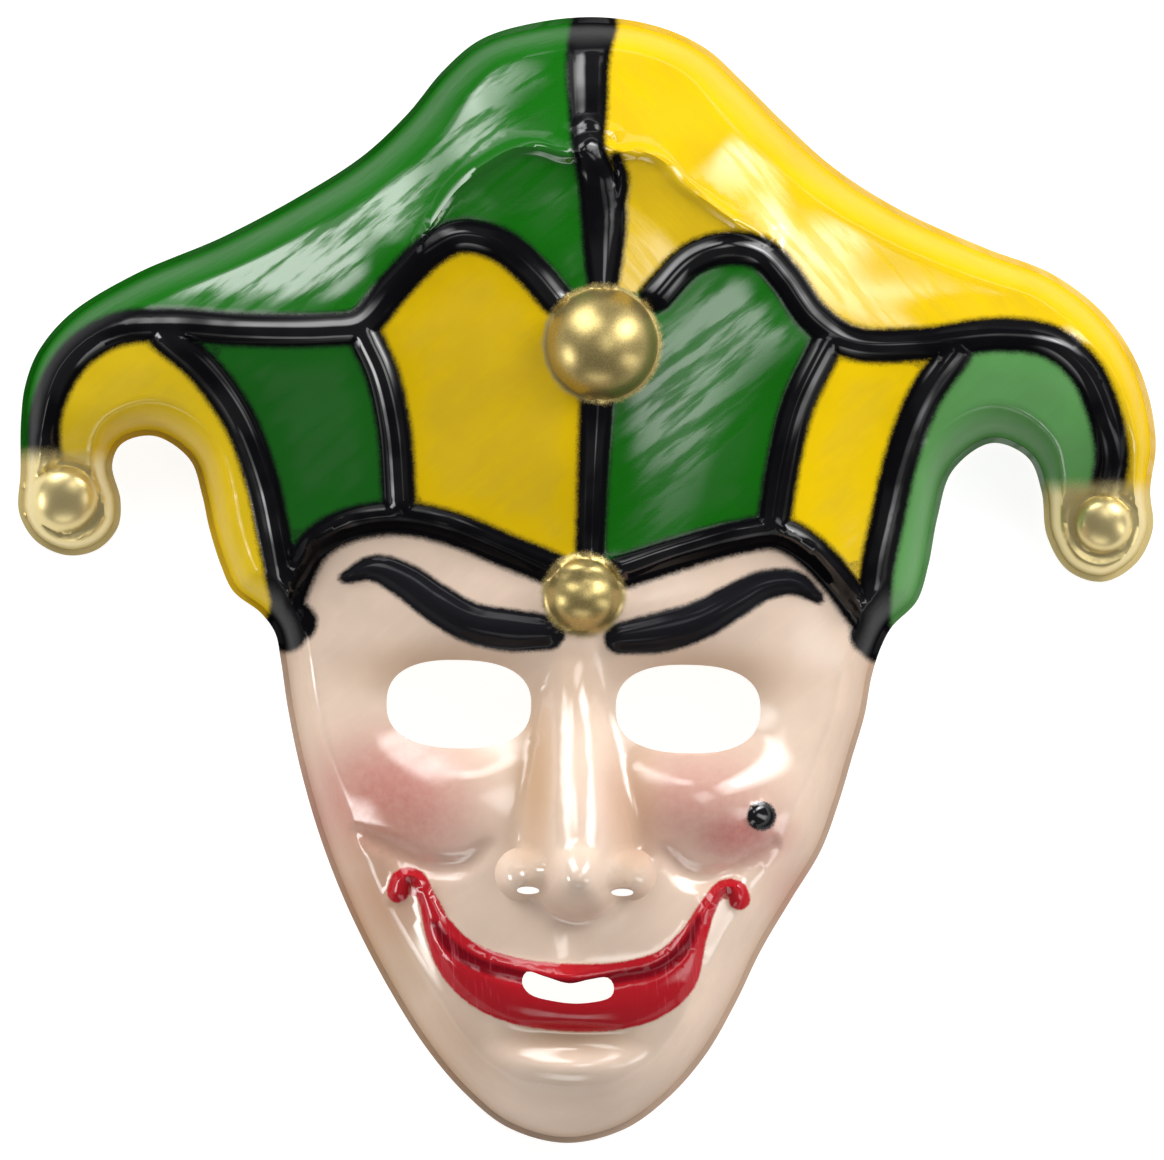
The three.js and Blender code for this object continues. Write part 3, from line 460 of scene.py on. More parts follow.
mouth_at = placed([MOUTH_AT])[0]
nose_root = placed([NOSE_ROOT])[0]
spot_at = placed([SPOT_AT])[0]


def in_grin(rows):
    return np.array([row[:2] for row in rows]) * [GRIN_WIDTH / 2, GRIN_HEIGHT] + mouth_at


def on_nose(rows):
    return np.array([row[:2] for row in rows]) * [NOSE_WIDTH, NOSE_LENGTH] + nose_root


def pair_of(middle, spacing):
    return [middle + [side * spacing / 2, 0] for side in (-1, 1)]


lips = Stroke(LIPS, in_grin(LIPS), LIP_WIDTH, LIP_HEIGHT)
mouth_line = Stroke(MOUTH_LINE, in_grin(MOUTH_LINE), MOUTH_LINE_WIDTH, -MOUTH_LINE_DEPTH)
nose = Stroke(NOSE_RIDGE, on_nose(NOSE_RIDGE), NOSE_WIDTH, NOSE_HEIGHT)
eyes_at = pair_of(placed([EYES_MIDDLE])[0], EYE_SPACING)
nostrils_at = pair_of(on_nose([NOSTRILS_AT])[0], NOSTRIL_SPACING)
brim_line = placed(PIPING["leftBrim"] + PIPING["rightBrim"])


def fitted_outline(step):
    """The outline, stretched to the box of the solid that it replaces"""
    ring, along = smooth_line(placed(OUTLINE), step, closed=True)
    low, high = ring.min(0), ring.max(0)
    wanted_low = np.array([cad_low.x, cad_low.y]) / MM
    wanted_high = np.array([cad_high.x, cad_high.y]) / MM
    return wanted_low + (ring - low) * (wanted_high - wanted_low) / (high - low)


outline = fitted_outline(FINE)


def edge_distance(x, y):
    nearest = np.full(x.shape, 1e9)
    ends = np.roll(outline, -1, axis=0)
    for (ax, ay), (bx, by) in zip(outline, ends):
        dx, dy = bx - ax, by - ay
        t = np.clip(((x - ax) * dx + (y - ay) * dy) / (dx * dx + dy * dy), 0, 1)
        np.minimum(nearest, (x - ax - t * dx) ** 2 + (y - ay - t * dy) ** 2, out=nearest)
    return np.sqrt(nearest)


def hill(centre, reach_x, reach_y, height, section, x, y):
    return height * section(np.hypot((x - centre[0]) / reach_x, (y - centre[1]) / reach_y))


def bare_depth(x, y):
    columns = [-share for share in DEPTH_COLUMNS[:0:-1]] + DEPTH_COLUMNS
    levels = [row[0] for row in DEPTH_ROWS]
    depths = [
        smooth_values(columns, row[1][:0:-1] + row[1], x / HALF[0]) for row in DEPTH_ROWS
    ]
    return FRONT_DEPTH * smooth_values(levels, np.array(depths), y / HALF[1])


def front_height(x, y):
    """Front of the sheet before the side wall cuts it off"""
    height = bare_depth(x, y)
    rise = np.clip((y - np.interp(x, *brim_line.T)) / CAP_LIFT_RUN + 0.5, 0, 1)
    height += CAP_LIFT * rise * rise * (3 - 2 * rise)
    for at, reach, share in FACE_MOUNDS.values():
        centre, (reach_x, reach_y) = placed([at])[0], reach * HALF
        height += hill(centre, reach_x, reach_y, share * FACE_RELIEF, swell, x, y)
    for eye in eyes_at:
        reach_x, reach_y = SOCKET_REACH[0] * EYE_WIDTH, SOCKET_REACH[1] * EYE_HEIGHT
        height -= hill(eye, reach_x, reach_y, SOCKET_SINK * FACE_RELIEF, swell, x, y)
    height += nose.rise(ridge, x, y)
    tip_reach = NOSE_TIP["width"] * NOSE_WIDTH / 2
    tip_height = NOSE_TIP["height"] * NOSE_HEIGHT
    tip = on_nose([NOSE_TIP["at"]])[0]
    height += hill(tip, tip_reach, tip_reach, tip_height, low_round, x, y)
    for wing in on_nose(NOSE_WINGS):
        reach = NOSE_WING_WIDTH / 2
        height += hill(wing, reach, reach, NOSE_WING_HEIGHT, low_round, x, y)
    height += sum(one.rise(fold, x, y) for one in crests)
    height += sum(one.rise(swell, x, y) for one in creases + wrinkles)
    height += lips.rise(roll, x, y) + mouth_line.rise(swell, x, y)
    raised = hill(spot_at, SPOT_WIDTH / 2, SPOT_WIDTH / 2, SPOT_HEIGHT, dome, x, y)
    for one in piping + brows:
        raised = rounded_max(raised, one.rise(rope, x, y), 0.6)
    for bell in BELLS:
        centre, radius = placed([bell["at"]])[0], bell["radius"]
        if bell["top"]:
            height -= hill(centre, TIP_SINK_REACH, TIP_SINK_REACH, TIP_SINK, swell, x, y)
        rim = radius + bell["collar"] * BELL_COLLAR_WIDTH
        out = np.hypot(x - centre[0], y - centre[1])
        collar = BELL_COLLAR_HEIGHT * boss(out / rim)
        ball = rounded_max(radius * dome(out / radius), collar, 1.6)
        if bell["spray"] > 3:
            ball += TIP_ROLL_HEIGHT * swell(np.abs(out - radius - 2.6) / 1.3)
        raised = rounded_max(raised, ball, 0.6)
    return height + raised


def turn_rounding(front):
    return EDGE_ROUNDING * np.maximum(WALL, front) / FRONT_DEPTH


def outer_height(x, y):
    side = WALL + SIDE_STEEPNESS * np.maximum(0, edge_distance(x, y) - RIM_FLANGE)
    front = front_height(x, y)
    height = rounded_min(side, front, turn_rounding(front))
    return rounded_max(height, np.full(x.shape, float(WALL)), 0.8)


# ---
def eye_ring(centre, grow, step=FINE):
    count = round(math.pi * (EYE_WIDTH + EYE_HEIGHT) / 2 / step)
    turns = np.linspace(0, 2 * math.pi, 6 * count, endpoint=False)
    bend = lambda value: np.sign(value) * np.abs(value) ** (2 / EYE_SQUARENESS)
    x = (EYE_WIDTH / 2 + grow) * bend(np.cos(turns))
    y = (EYE_HEIGHT / 2 + grow) * bend(np.sin(turns))
    return smooth_line(np.stack([x, y], axis=1)[::6] + centre, step, closed=True)[0]


def mouth_ring(grow, step=FINE):
    halves = [MOUTH_WIDTH / 2 + grow, MOUTH_OPENING / 2 + grow]
    return smooth_line(np.array(MOUTH_EDGE) * halves + mouth_at, step, closed=True)[0]


def nostril_ring(centre, grow):
    turns = np.linspace(0, 2 * math.pi, 14, endpoint=False)
    return np.stack([
        centre[0] + (NOSTRIL_WIDTH / 2 + grow) * np.cos(turns),
        centre[1] + (NOSTRIL_OPENING / 2 + grow) * np.sin(turns),
    ], axis=1)


def circle_points(centre, radius, count):
    turns = np.linspace(0, 2 * math.pi, count, endpoint=False)
    return centre + radius * np.stack([np.cos(turns), np.sin(turns)], axis=1)


holes = [eye_ring(eye, 0) for eye in eyes_at] + [mouth_ring(0)]
holes += [nostril_ring(nostril, 0) for nostril in nostrils_at]


def inside(ring, x, y):
    odd = np.zeros(x.shape, bool)
    for (ax, ay), (bx, by) in zip(ring, np.roll(ring, -1, axis=0)):
        crosses = (ay > y) != (by > y)
        if crosses.any():
            odd ^= crosses & (x < (bx - ax) * (y - ay) / (by - ay + 1e-12) + ax)
    return odd


class Layout:
    """Points of the flat sheet, none nearer to another than it may be"""

    def __init__(self, spacing):
        self.points, self.cells, self.spacing = [], {}, spacing

    def add(self, points, gap, sure=False):
        for x, y in points:
            i, j = int(x // self.spacing), int(y // self.spacing)
            if not sure and any(
                (x - p) ** 2 + (y - q) ** 2 < gap * gap
                for a in (i - 1, i, i + 1) for b in (j - 1, j, j + 1)
                for p, q in self.cells.get((a, b), ())
            ):
                continue
            self.points.append((x, y))
            self.cells.setdefault((i, j), []).append((x, y))


def inner_rings():
    """Rings inside the outline: flange, side wall and the turn to the front"""
    before, after = np.roll(outline, 1, axis=0), np.roll(outline, -1, axis=0)
    inward = np.stack([after[:, 1] - before[:, 1], before[:, 0] - after[:, 0]], axis=1)
    inward /= np.hypot(*inward.T)[:, None]
    probe = outline + 8 * inward
    depth = front_height(*probe.T)
    rings = [(np.full(len(outline), RIM_FLANGE * share), 0.45) for share in (0.55, 1, 1.3)]
    rings += [(RIM_FLANGE + share * depth / SIDE_STEEPNESS, 0.5) for share in (0.25, 0.45, 0.6)]
    for share in (-0.9, -0.6, -0.3, 0, 0.3, 0.6, 1, 1.5, 2):
        height = np.maximum(WALL, depth + share * turn_rounding(depth))
        rings.append((RIM_FLANGE + height / SIDE_STEEPNESS, 0.6))
    for inset, gap in rings:
        points = outline + inset[:, None] * inward
        clear = edge_distance(*points.T) > 0.94 * inset
        for bell in BELLS:
            clear &= np.hypot(*(points - placed([bell["at"]])[0]).T) > bell["radius"]
        yield points[clear], gap


def flat_layout():
    layout = Layout(PLAIN)
    layout.add(outline, 0, sure=True)
    for hole in holes:
        layout.add(hole, 0, sure=True)
    groups = list(inner_rings())
    for grow, gap in ((0.8, 0.5), (2, 0.9), (3.4, 1)):
        groups += [(eye_ring(eye, grow), gap) for eye in eyes_at]
        groups += [(mouth_ring(grow), gap)]
    groups += [(nostril_ring(nostril, 0.8), 0.5) for nostril in nostrils_at]
    for bell in BELLS:
        centre, radius = placed([bell["at"]])[0], bell["radius"]
        around = round(2 * math.pi * radius / FINE)
        for share in (1, 0.985, 0.95, 0.89, 0.81, 0.71, 0.60, 0.48, 0.36, 0.24, 0.12):
            groups.append((circle_points(centre, share * radius, around), 0.22 if share > 0.9 else 0.8))
        rim = radius + bell["collar"] * BELL_COLLAR_WIDTH
        for radius in (rim, (radius + rim) / 2, rim + 0.7):
            groups.append((circle_points(centre, radius, around), 0.45))
    for share in (1, 0.93, 0.75, 0.4):
        groups.append((circle_points(spot_at, share * SPOT_WIDTH / 2, 20), 0.3))
    for one in piping + brows:
        for points in one.rows_of_points((1, -1, 0.82, -0.82, 0.6, -0.6, 0.3, -0.3, 0, 1.2, -1.2)):
            groups.append((points, 0.62))
    for one in [lips, mouth_line] + wrinkles:
        for points in one.rows_of_points((0, 1, -1, 0.88, -0.88, 0.7, -0.7, 0.35, -0.35, 1.15, -1.15)):
            groups.append((points, 0.8))
    for one in crests:
        for points in one.rows_of_points((0, 0.05, -0.05, 0.12, -0.12)):
            groups.append((points, 0.8))
    for wing in on_nose(NOSE_WINGS):
        for share in (1, 0.85, 0.6, 0.3):
            groups.append((circle_points(wing, share * NOSE_WING_WIDTH / 2, 30), 0.8))
    columns, rows = int(MASK_WIDTH / PLAIN) + 1, int(MASK_HEIGHT / PLAIN / 0.866) + 1
    i, j = np.meshgrid(np.arange(columns), np.arange(rows))
    x = -MASK_WIDTH / 2 + (i + 0.5 * (j % 2)) * PLAIN
    y = -MASK_HEIGHT / 2 + j * PLAIN * 0.866
    groups.append((np.stack([x.ravel(), y.ravel()], axis=1), 0.78 * PLAIN))
    for points, gap in groups:
        keep = inside(outline, *points.T)
        for hole in holes:
            keep &= ~inside(hole, *points.T)
        layout.add(points[keep], gap)
    return layout.points


def flat_sheet():
    """The sheet cut to its outline and holes, before it is formed"""
    points = flat_layout()
    edges = []
    start = 0
    for ring in [outline] + holes:
        count = len(ring)
        edges += [(start + i, start + (i + 1) % count) for i in range(count)]
        start += count
    made = geometry.delaunay_2d_cdt([Vector(p) for p in points], edges, [], 1, 1e-5, False)
    corners = np.array([tuple(v) for v in made[0]])
    faces = np.array(made[2])
    middles = corners[faces].mean(axis=1)
    kept = inside(outline, *middles.T)
    for hole in holes:
        kept &= ~inside(hole, *middles.T)
    return corners, faces[kept]


def formed_heights(corners, faces):
    """Heights of both faces of the formed sheet: the inner one lies a wall below the outer"""
    x, y = corners.T
    outer = outer_height(x, y)
    outer *= cad_high.z / MM / outer.max()
    points = np.column_stack([x, y, outer])
    a, b, c = (points[faces[:, k]] for k in range(3))
    square = np.cross(b - a, c - a)
    normals = np.zeros_like(points)
    for k in range(3):
        np.add.at(normals, faces[:, k], square)
    upright = np.abs(normals[:, 2]) / np.linalg.norm(normals, axis=1)
    inner = np.maximum(0, outer - WALL / np.maximum(upright, 1 / math.hypot(1, SIDE_STEEPNESS)))
    return outer, inner


def line_x(rows, y):
    """Where a line that runs down the cap lies at each level"""
    points = placed(rows)[::-1]
    return np.interp(y, points[:, 1], points[:, 0])


def panel_numbers(x, y):
    """Which sprayed panel each place belongs to, 0 for the face"""
    seam = np.array(PIPING["topSeam"])[:, :2]
    left = np.array(PIPING["leftSweep"])[:, :2]
    right = np.array(PIPING["rightSweep"])[:, :2]
    brim = np.array([row[:2] for row in PIPING["leftBrim"] + PIPING["rightBrim"]])
    left_lobe = np.vstack([seam, left, [[-0.949, 0.1], [-1.2, 0.1], [-1.2, 1.2], [-0.004, 1.2]]]) * HALF
    right_lobe = np.vstack([seam, right, [[0.912, 0.1], [1.2, 0.1], [1.2, 1.2], [-0.004, 1.2]]]) * HALF
    face = np.vstack([brim, [[0.9, -0.115], [0.9, -1.2], [-0.9, -1.2], [-0.9, -0.115]]]) * HALF
    number = np.full(x.shape, 6)
    for panel, rows in ((6, "rightOuter"), (5, "rightInner"), (4, "frontSeam"), (3, "leftInner"), (2, "leftOuter")):
        number[x < line_x(PIPING[rows], y)] = panel - 1
    number += 1
    number[inside(left_lobe, x, y)] = 1
    number[inside(right_lobe, x, y)] = 8
    number[inside(face, x, y)] = 0
    return number


def spray_marks(x, y):
    """What the paint needs to know at each place: distances past each colour's edge, in
    millimetres, and the blush and the painted shade from 0 to 1"""
    black = np.full(x.shape, 9.0)
    for one in piping:
        black = np.minimum(black, one.beside(x, y))
    for at, reach in BLACK_ENDS:
        centre = placed([at])[0]
        black = np.minimum(black, np.hypot(x - centre[0], y - centre[1]) - reach)
    gold = np.full(x.shape, 30.0)
    gold_soft = (np.abs(x) > 0.7 * HALF[0]).astype(float)
    for bell in BELLS:
        centre = placed([bell["at"]])[0]
        rim = bell["radius"] + bell["collar"] * BELL_COLLAR_WIDTH + bell["spray"]
        past = np.hypot(x - centre[0], y - centre[1]) - rim
        if bell["top"]:
            past = np.maximum(past, y - centre[1] - bell["top"])
        gold = np.minimum(gold, past)
    brow = np.minimum(*[one.beside(x, y) for one in brows])
    spot = np.hypot(x - spot_at[0], y - spot_at[1]) - SPOT_WIDTH / 2
    blush = np.zeros(x.shape)
    for at, reach, strength in BLUSHES:
        centre, (reach_x, reach_y) = placed([at])[0], reach * HALF
        blush = np.maximum(blush, hill(centre, reach_x, reach_y, strength, swell, x, y))
    # Painted shade: how much brown darkening each place gets, from 0 to 1
    shade = np.zeros(x.shape)
    for at, reach, strength in PAINTED_SHADE_SPOTS:
        centre, (reach_x, reach_y) = placed([at])[0], reach * HALF
        shade = np.maximum(shade, hill(centre, reach_x, reach_y, strength, swell, x, y))
    panels = panel_numbers(x, y)
    return {
        "black": black, "gold": gold, "brow": brow, "spot": spot, "blush": blush,
        "shade": shade, "lip": lips.beside(x, y), "mouth": mouth_line.beside(x, y),
        "edge": edge_distance(x, y), "gold_soft": gold_soft, "crest": wrinkles[0].beside(x, y),
        "right_lobe": (panels == 8).astype(float), "brushed": np.array(BRUSHED)[panels],
    }


def formed_mask():
    corners, faces = flat_sheet()
    outer, inner = formed_heights(corners, faces)
    bpy.ops.object.select_all(action="DESELECT")
    mesh = bpy.data.meshes.new("jester_mask")
    mesh.from_pydata([(x * MM, y * MM, 0) for x, y in corners], [], faces.tolist())
    mask = bpy.data.objects.new("jester_mask", mesh)
    bpy.context.collection.objects.link(mask)
    mask.select_set(True)
    bpy.context.view_layer.objects.active = mask

    # The flat sheet gets its second face, then both faces are pressed to the form
    bpy.ops.object.mode_set(mode="EDIT")
    bpy.ops.mesh.select_all(action="SELECT")
    bpy.ops.mesh.extrude_region_move(TRANSFORM_OT_translate={"value": (0, 0, WALL * MM)})
    bpy.ops.mesh.select_all(action="SELECT")
    bpy.ops.mesh.normals_make_consistent(inside=False)
    bpy.ops.object.mode_set(mode="OBJECT")

    places = np.empty(3 * len(mesh.vertices))
    mesh.vertices.foreach_get("co", places)
    places = places.reshape(-1, 3)
    on_top = places[:, 2] > WALL * MM / 2
    keys = np.round(places[:, :2] / MM * 1000).astype(np.int64)
    order = np.lexsort((keys[:, 1], keys[:, 0]))
    flat_keys = np.round(np.float32(corners * MM).astype(float) / MM * 1000).astype(np.int64)
    flat_order = np.lexsort((flat_keys[:, 1], flat_keys[:, 0]))
    source = np.empty(len(places), int)
    for side in (on_top, ~on_top):
        source[order[side[order]]] = flat_order
    places[:, 2] = np.where(on_top, outer[source], inner[source]) * MM
    mesh.vertices.foreach_set("co", places.ravel())

    marks = spray_marks(*corners.T)
    for name, values in marks.items():
        layer = mesh.attributes.new(name, "FLOAT", "POINT")
        layer.data.foreach_set("value", values[source].astype(np.float32))
    colours = np.array(PANEL_COLOURS)[panel_numbers(*corners.T)]
    layer = mesh.attributes.new("panel", "FLOAT_COLOR", "POINT")
    layer.data.foreach_set("color", colours[source].astype(np.float32).ravel())

    # Outer face: paint. Inner face and cut edges: bare plastic.
    faces_top = np.array([on_top[list(face.vertices)].all() for face in mesh.polygons])
    mesh.polygons.foreach_set("material_index", np.where(faces_top, 0, 1).astype(np.int32))
    mesh.update()
    bpy.ops.object.shade_smooth_by_angle(angle=math.radians(48))
    return mask


def paint(red, green, blue):
    """A colour as it shows on a screen, made linear"""
    linear = [(v / 255 / 12.92 if v < 11 else ((v / 255 + 0.055) / 1.055) ** 2.4) for v in (red, green, blue)]
    return (*linear, 1)


SKIN = paint(229, 205, 185)
GREEN = paint(19, 95, 15)
DARK_GREEN = paint(24, 90, 24)
# Green of the right horn's underside, made much paler to paint in the pale reflection that lies on it
GREEN_WITH_PAINTED_HAZE = paint(92, 150, 84)
YELLOW = paint(234, 196, 8)
LOBE_YELLOW = paint(218, 182, 7)
MUSTARD = paint(204, 170, 8)
# Yellow of the left horn's underside, made somewhat paler to paint in the cream highlight along its ridge
OCHRE_WITH_PAINTED_SHEEN = paint(226, 192, 30)
BLACK = paint(9, 9, 12)
SOFT_BLACK = paint(30, 30, 35)
BROW_BLACK = paint(25, 25, 29)
GOLD = paint(204, 184, 124)
DARK_GOLD = paint(134, 116, 66)
PALE_GOLD = paint(232, 214, 156)
LIP_RED = paint(178, 22, 34)
DARK_RED = paint(104, 6, 20)
LIP_PINK = paint(222, 96, 112)
BLUSH_RED = paint(180, 88, 88)
# Brown of the painted shade in the face's hollows and on its sides that turn from the light
PAINTED_SHADE_BROWN = paint(190, 156, 124)
# Colour of the painted shade along the rim, where the sheet turns down its side walls
RIM_SHADE_COLOUR = paint(170, 150, 128)

# By panel: face, left lobe, left horn's underside, left side, left middle, right middle,
# right side, right horn's underside, right lobe
PANEL_COLOURS = [
    SKIN, GREEN, OCHRE_WITH_PAINTED_SHEEN, DARK_GREEN, MUSTARD, GREEN, YELLOW, GREEN_WITH_PAINTED_HAZE, LOBE_YELLOW,
]

# How streaky the glaze is on each panel
BRUSHED = [0, 1, 0.3, 0.25, 0.25, 0.8, 0.3, 0.4, 0.7]

# Black sprayed over the rim where the brim ends: place and reach in millimetres
BLACK_ENDS = [([-0.522, -0.098], 6.0), ([0.518, -0.098], 5.2), ([-0.500, -0.085], 5.0), ([0.500, -0.085], 5.0)]

BLUSHES = [
    ([-0.330, -0.400], np.array([0.23, 0.20]), 0.75),
    ([0.275, -0.440], np.array([0.15, 0.09]), 0.75),
    ([0.200, -0.385], np.array([0.24, 0.16]), 0.50),
    ([-0.350, -0.570], np.array([0.12, 0.13]), 0.50),
    ([0.370, -0.540], np.array([0.08, 0.10]), 0.25),
]
# Painted shade, not a tint of the paint: brown darkening under the lower lip, down both sides of the nose, at the
# nose's root, under the brows, and down the left jaw and chin. Each row gives place, reach as shares of half the mask,
# and strength
PAINTED_SHADE_SPOTS = [
    ([-0.012, -0.800], np.array([0.18, 0.05]), 0.8),
    ([-0.078, -0.350], np.array([0.065, 0.25]), 1.0),
    ([0.095, -0.400], np.array([0.065, 0.23]), 0.7),
    ([-0.015, -0.180], np.array([0.08, 0.10]), 0.45),
    ([-0.25, -0.165], np.array([0.24, 0.08]), 0.75),
    ([0.22, -0.165], np.array([0.24, 0.08]), 0.7),
    ([-0.36, -0.66], np.array([0.17, 0.36]), 0.85),
    ([-0.25, -0.85], np.array([0.16, 0.20]), 0.6),
]


# ---
class Wire:
    """A number, colour or vector in a finish, joined to others as in plain sums"""

    def __init__(self, finish, socket):
        self.finish, self.socket = finish, socket

    def sum(self, operation, *others):
        values = {0: self, **{k + 1: other for k, other in enumerate(others)}}
        return self.finish.node("Math", {"operation": operation}, values)

    def __add__(self, other):
        return self.sum("ADD", other)

    def __sub__(self, other):
        return self.sum("SUBTRACT", other)

    def __rsub__(self, other):
        return self.finish.node("Math", {"operation": "SUBTRACT"}, {0: other, 1: self})

    def __mul__(self, other):
        return self.sum("MULTIPLY", other)

    __radd__ = __add__
    __rmul__ = __mul__


class Finish:
    """A finish while it is being mixed"""

    def __init__(self, name):
        self.material = bpy.data.materials.new(name)
        self.material.use_nodes = True
        self.tree = self.material.node_tree
        self.tree.nodes.clear()
        self.place = self.node("TexCoord", output="Object")

    def node(self, kind, settings=None, values=None, output=0):
        made = self.tree.nodes.new("ShaderNode" + kind)
        for name, value in (settings or {}).items():
            setattr(made, name, value)
        for name, value in (values or {}).items():
            if isinstance(value, Wire):
                self.tree.links.new(value.socket, made.inputs[name])
            else:
                made.inputs[name].default_value = value
        return Wire(self, made.outputs[output]) if made.outputs else None

    def mark(self, name):
        return self.node("Attribute", {"attribute_name": name}, output="Fac")

    def grain(self, size, detail=2.0, rough=0.5, place=None, size_in_place=False):
        """Uneven grain of a size in millimetres, from less to more than nothing by a half"""
        scale = 1 if size_in_place else 1 / (size * MM)
        values = {
            "Vector": place or self.place, "Scale": scale, "Detail": detail, "Roughness": rough,
        }
        return self.node("TexNoise", {"noise_dimensions": "3D"}, values) - 0.5

    def turned(self, degrees, lengths):
        """The place seen along a direction, in lengths along, across and up"""
        values = {
            "Vector": self.place, "Rotation": (0, 0, math.radians(degrees)), "Scale": lengths,
        }
        return self.node("Mapping", {"vector_type": "TEXTURE"}, values)

    def place_x(self):
        return self.node("SeparateXYZ", {}, {"Vector": self.place})

    def ramp(self, value, start, end, low=0.0, high=1.0):
        """Smooth step from low to high while the value goes from start to end"""
        values = {"Value": value, "From Min": start, "From Max": end, "To Min": low, "To Max": high}
        return self.node("MapRange", {"interpolation_type": "SMOOTHSTEP"}, values)

    def mix(self, share, under, over, blend="MIX"):
        settings = {"data_type": "RGBA", "blend_type": blend, "clamp_factor": True}
        return self.node("Mix", settings, {0: share, 6: under, 7: over}, output=2)

    def close(self, values, bump=None, height=0.1):
        if bump is not None:
            relief = {"Strength": 1.0, "Distance": height * MM, "Height": bump}
            values["Normal"] = self.node("Bump", {}, relief)
        surface = self.node("BsdfPrincipled", {}, values)
        self.node("OutputMaterial", {}, {"Surface": surface})
        return self.material


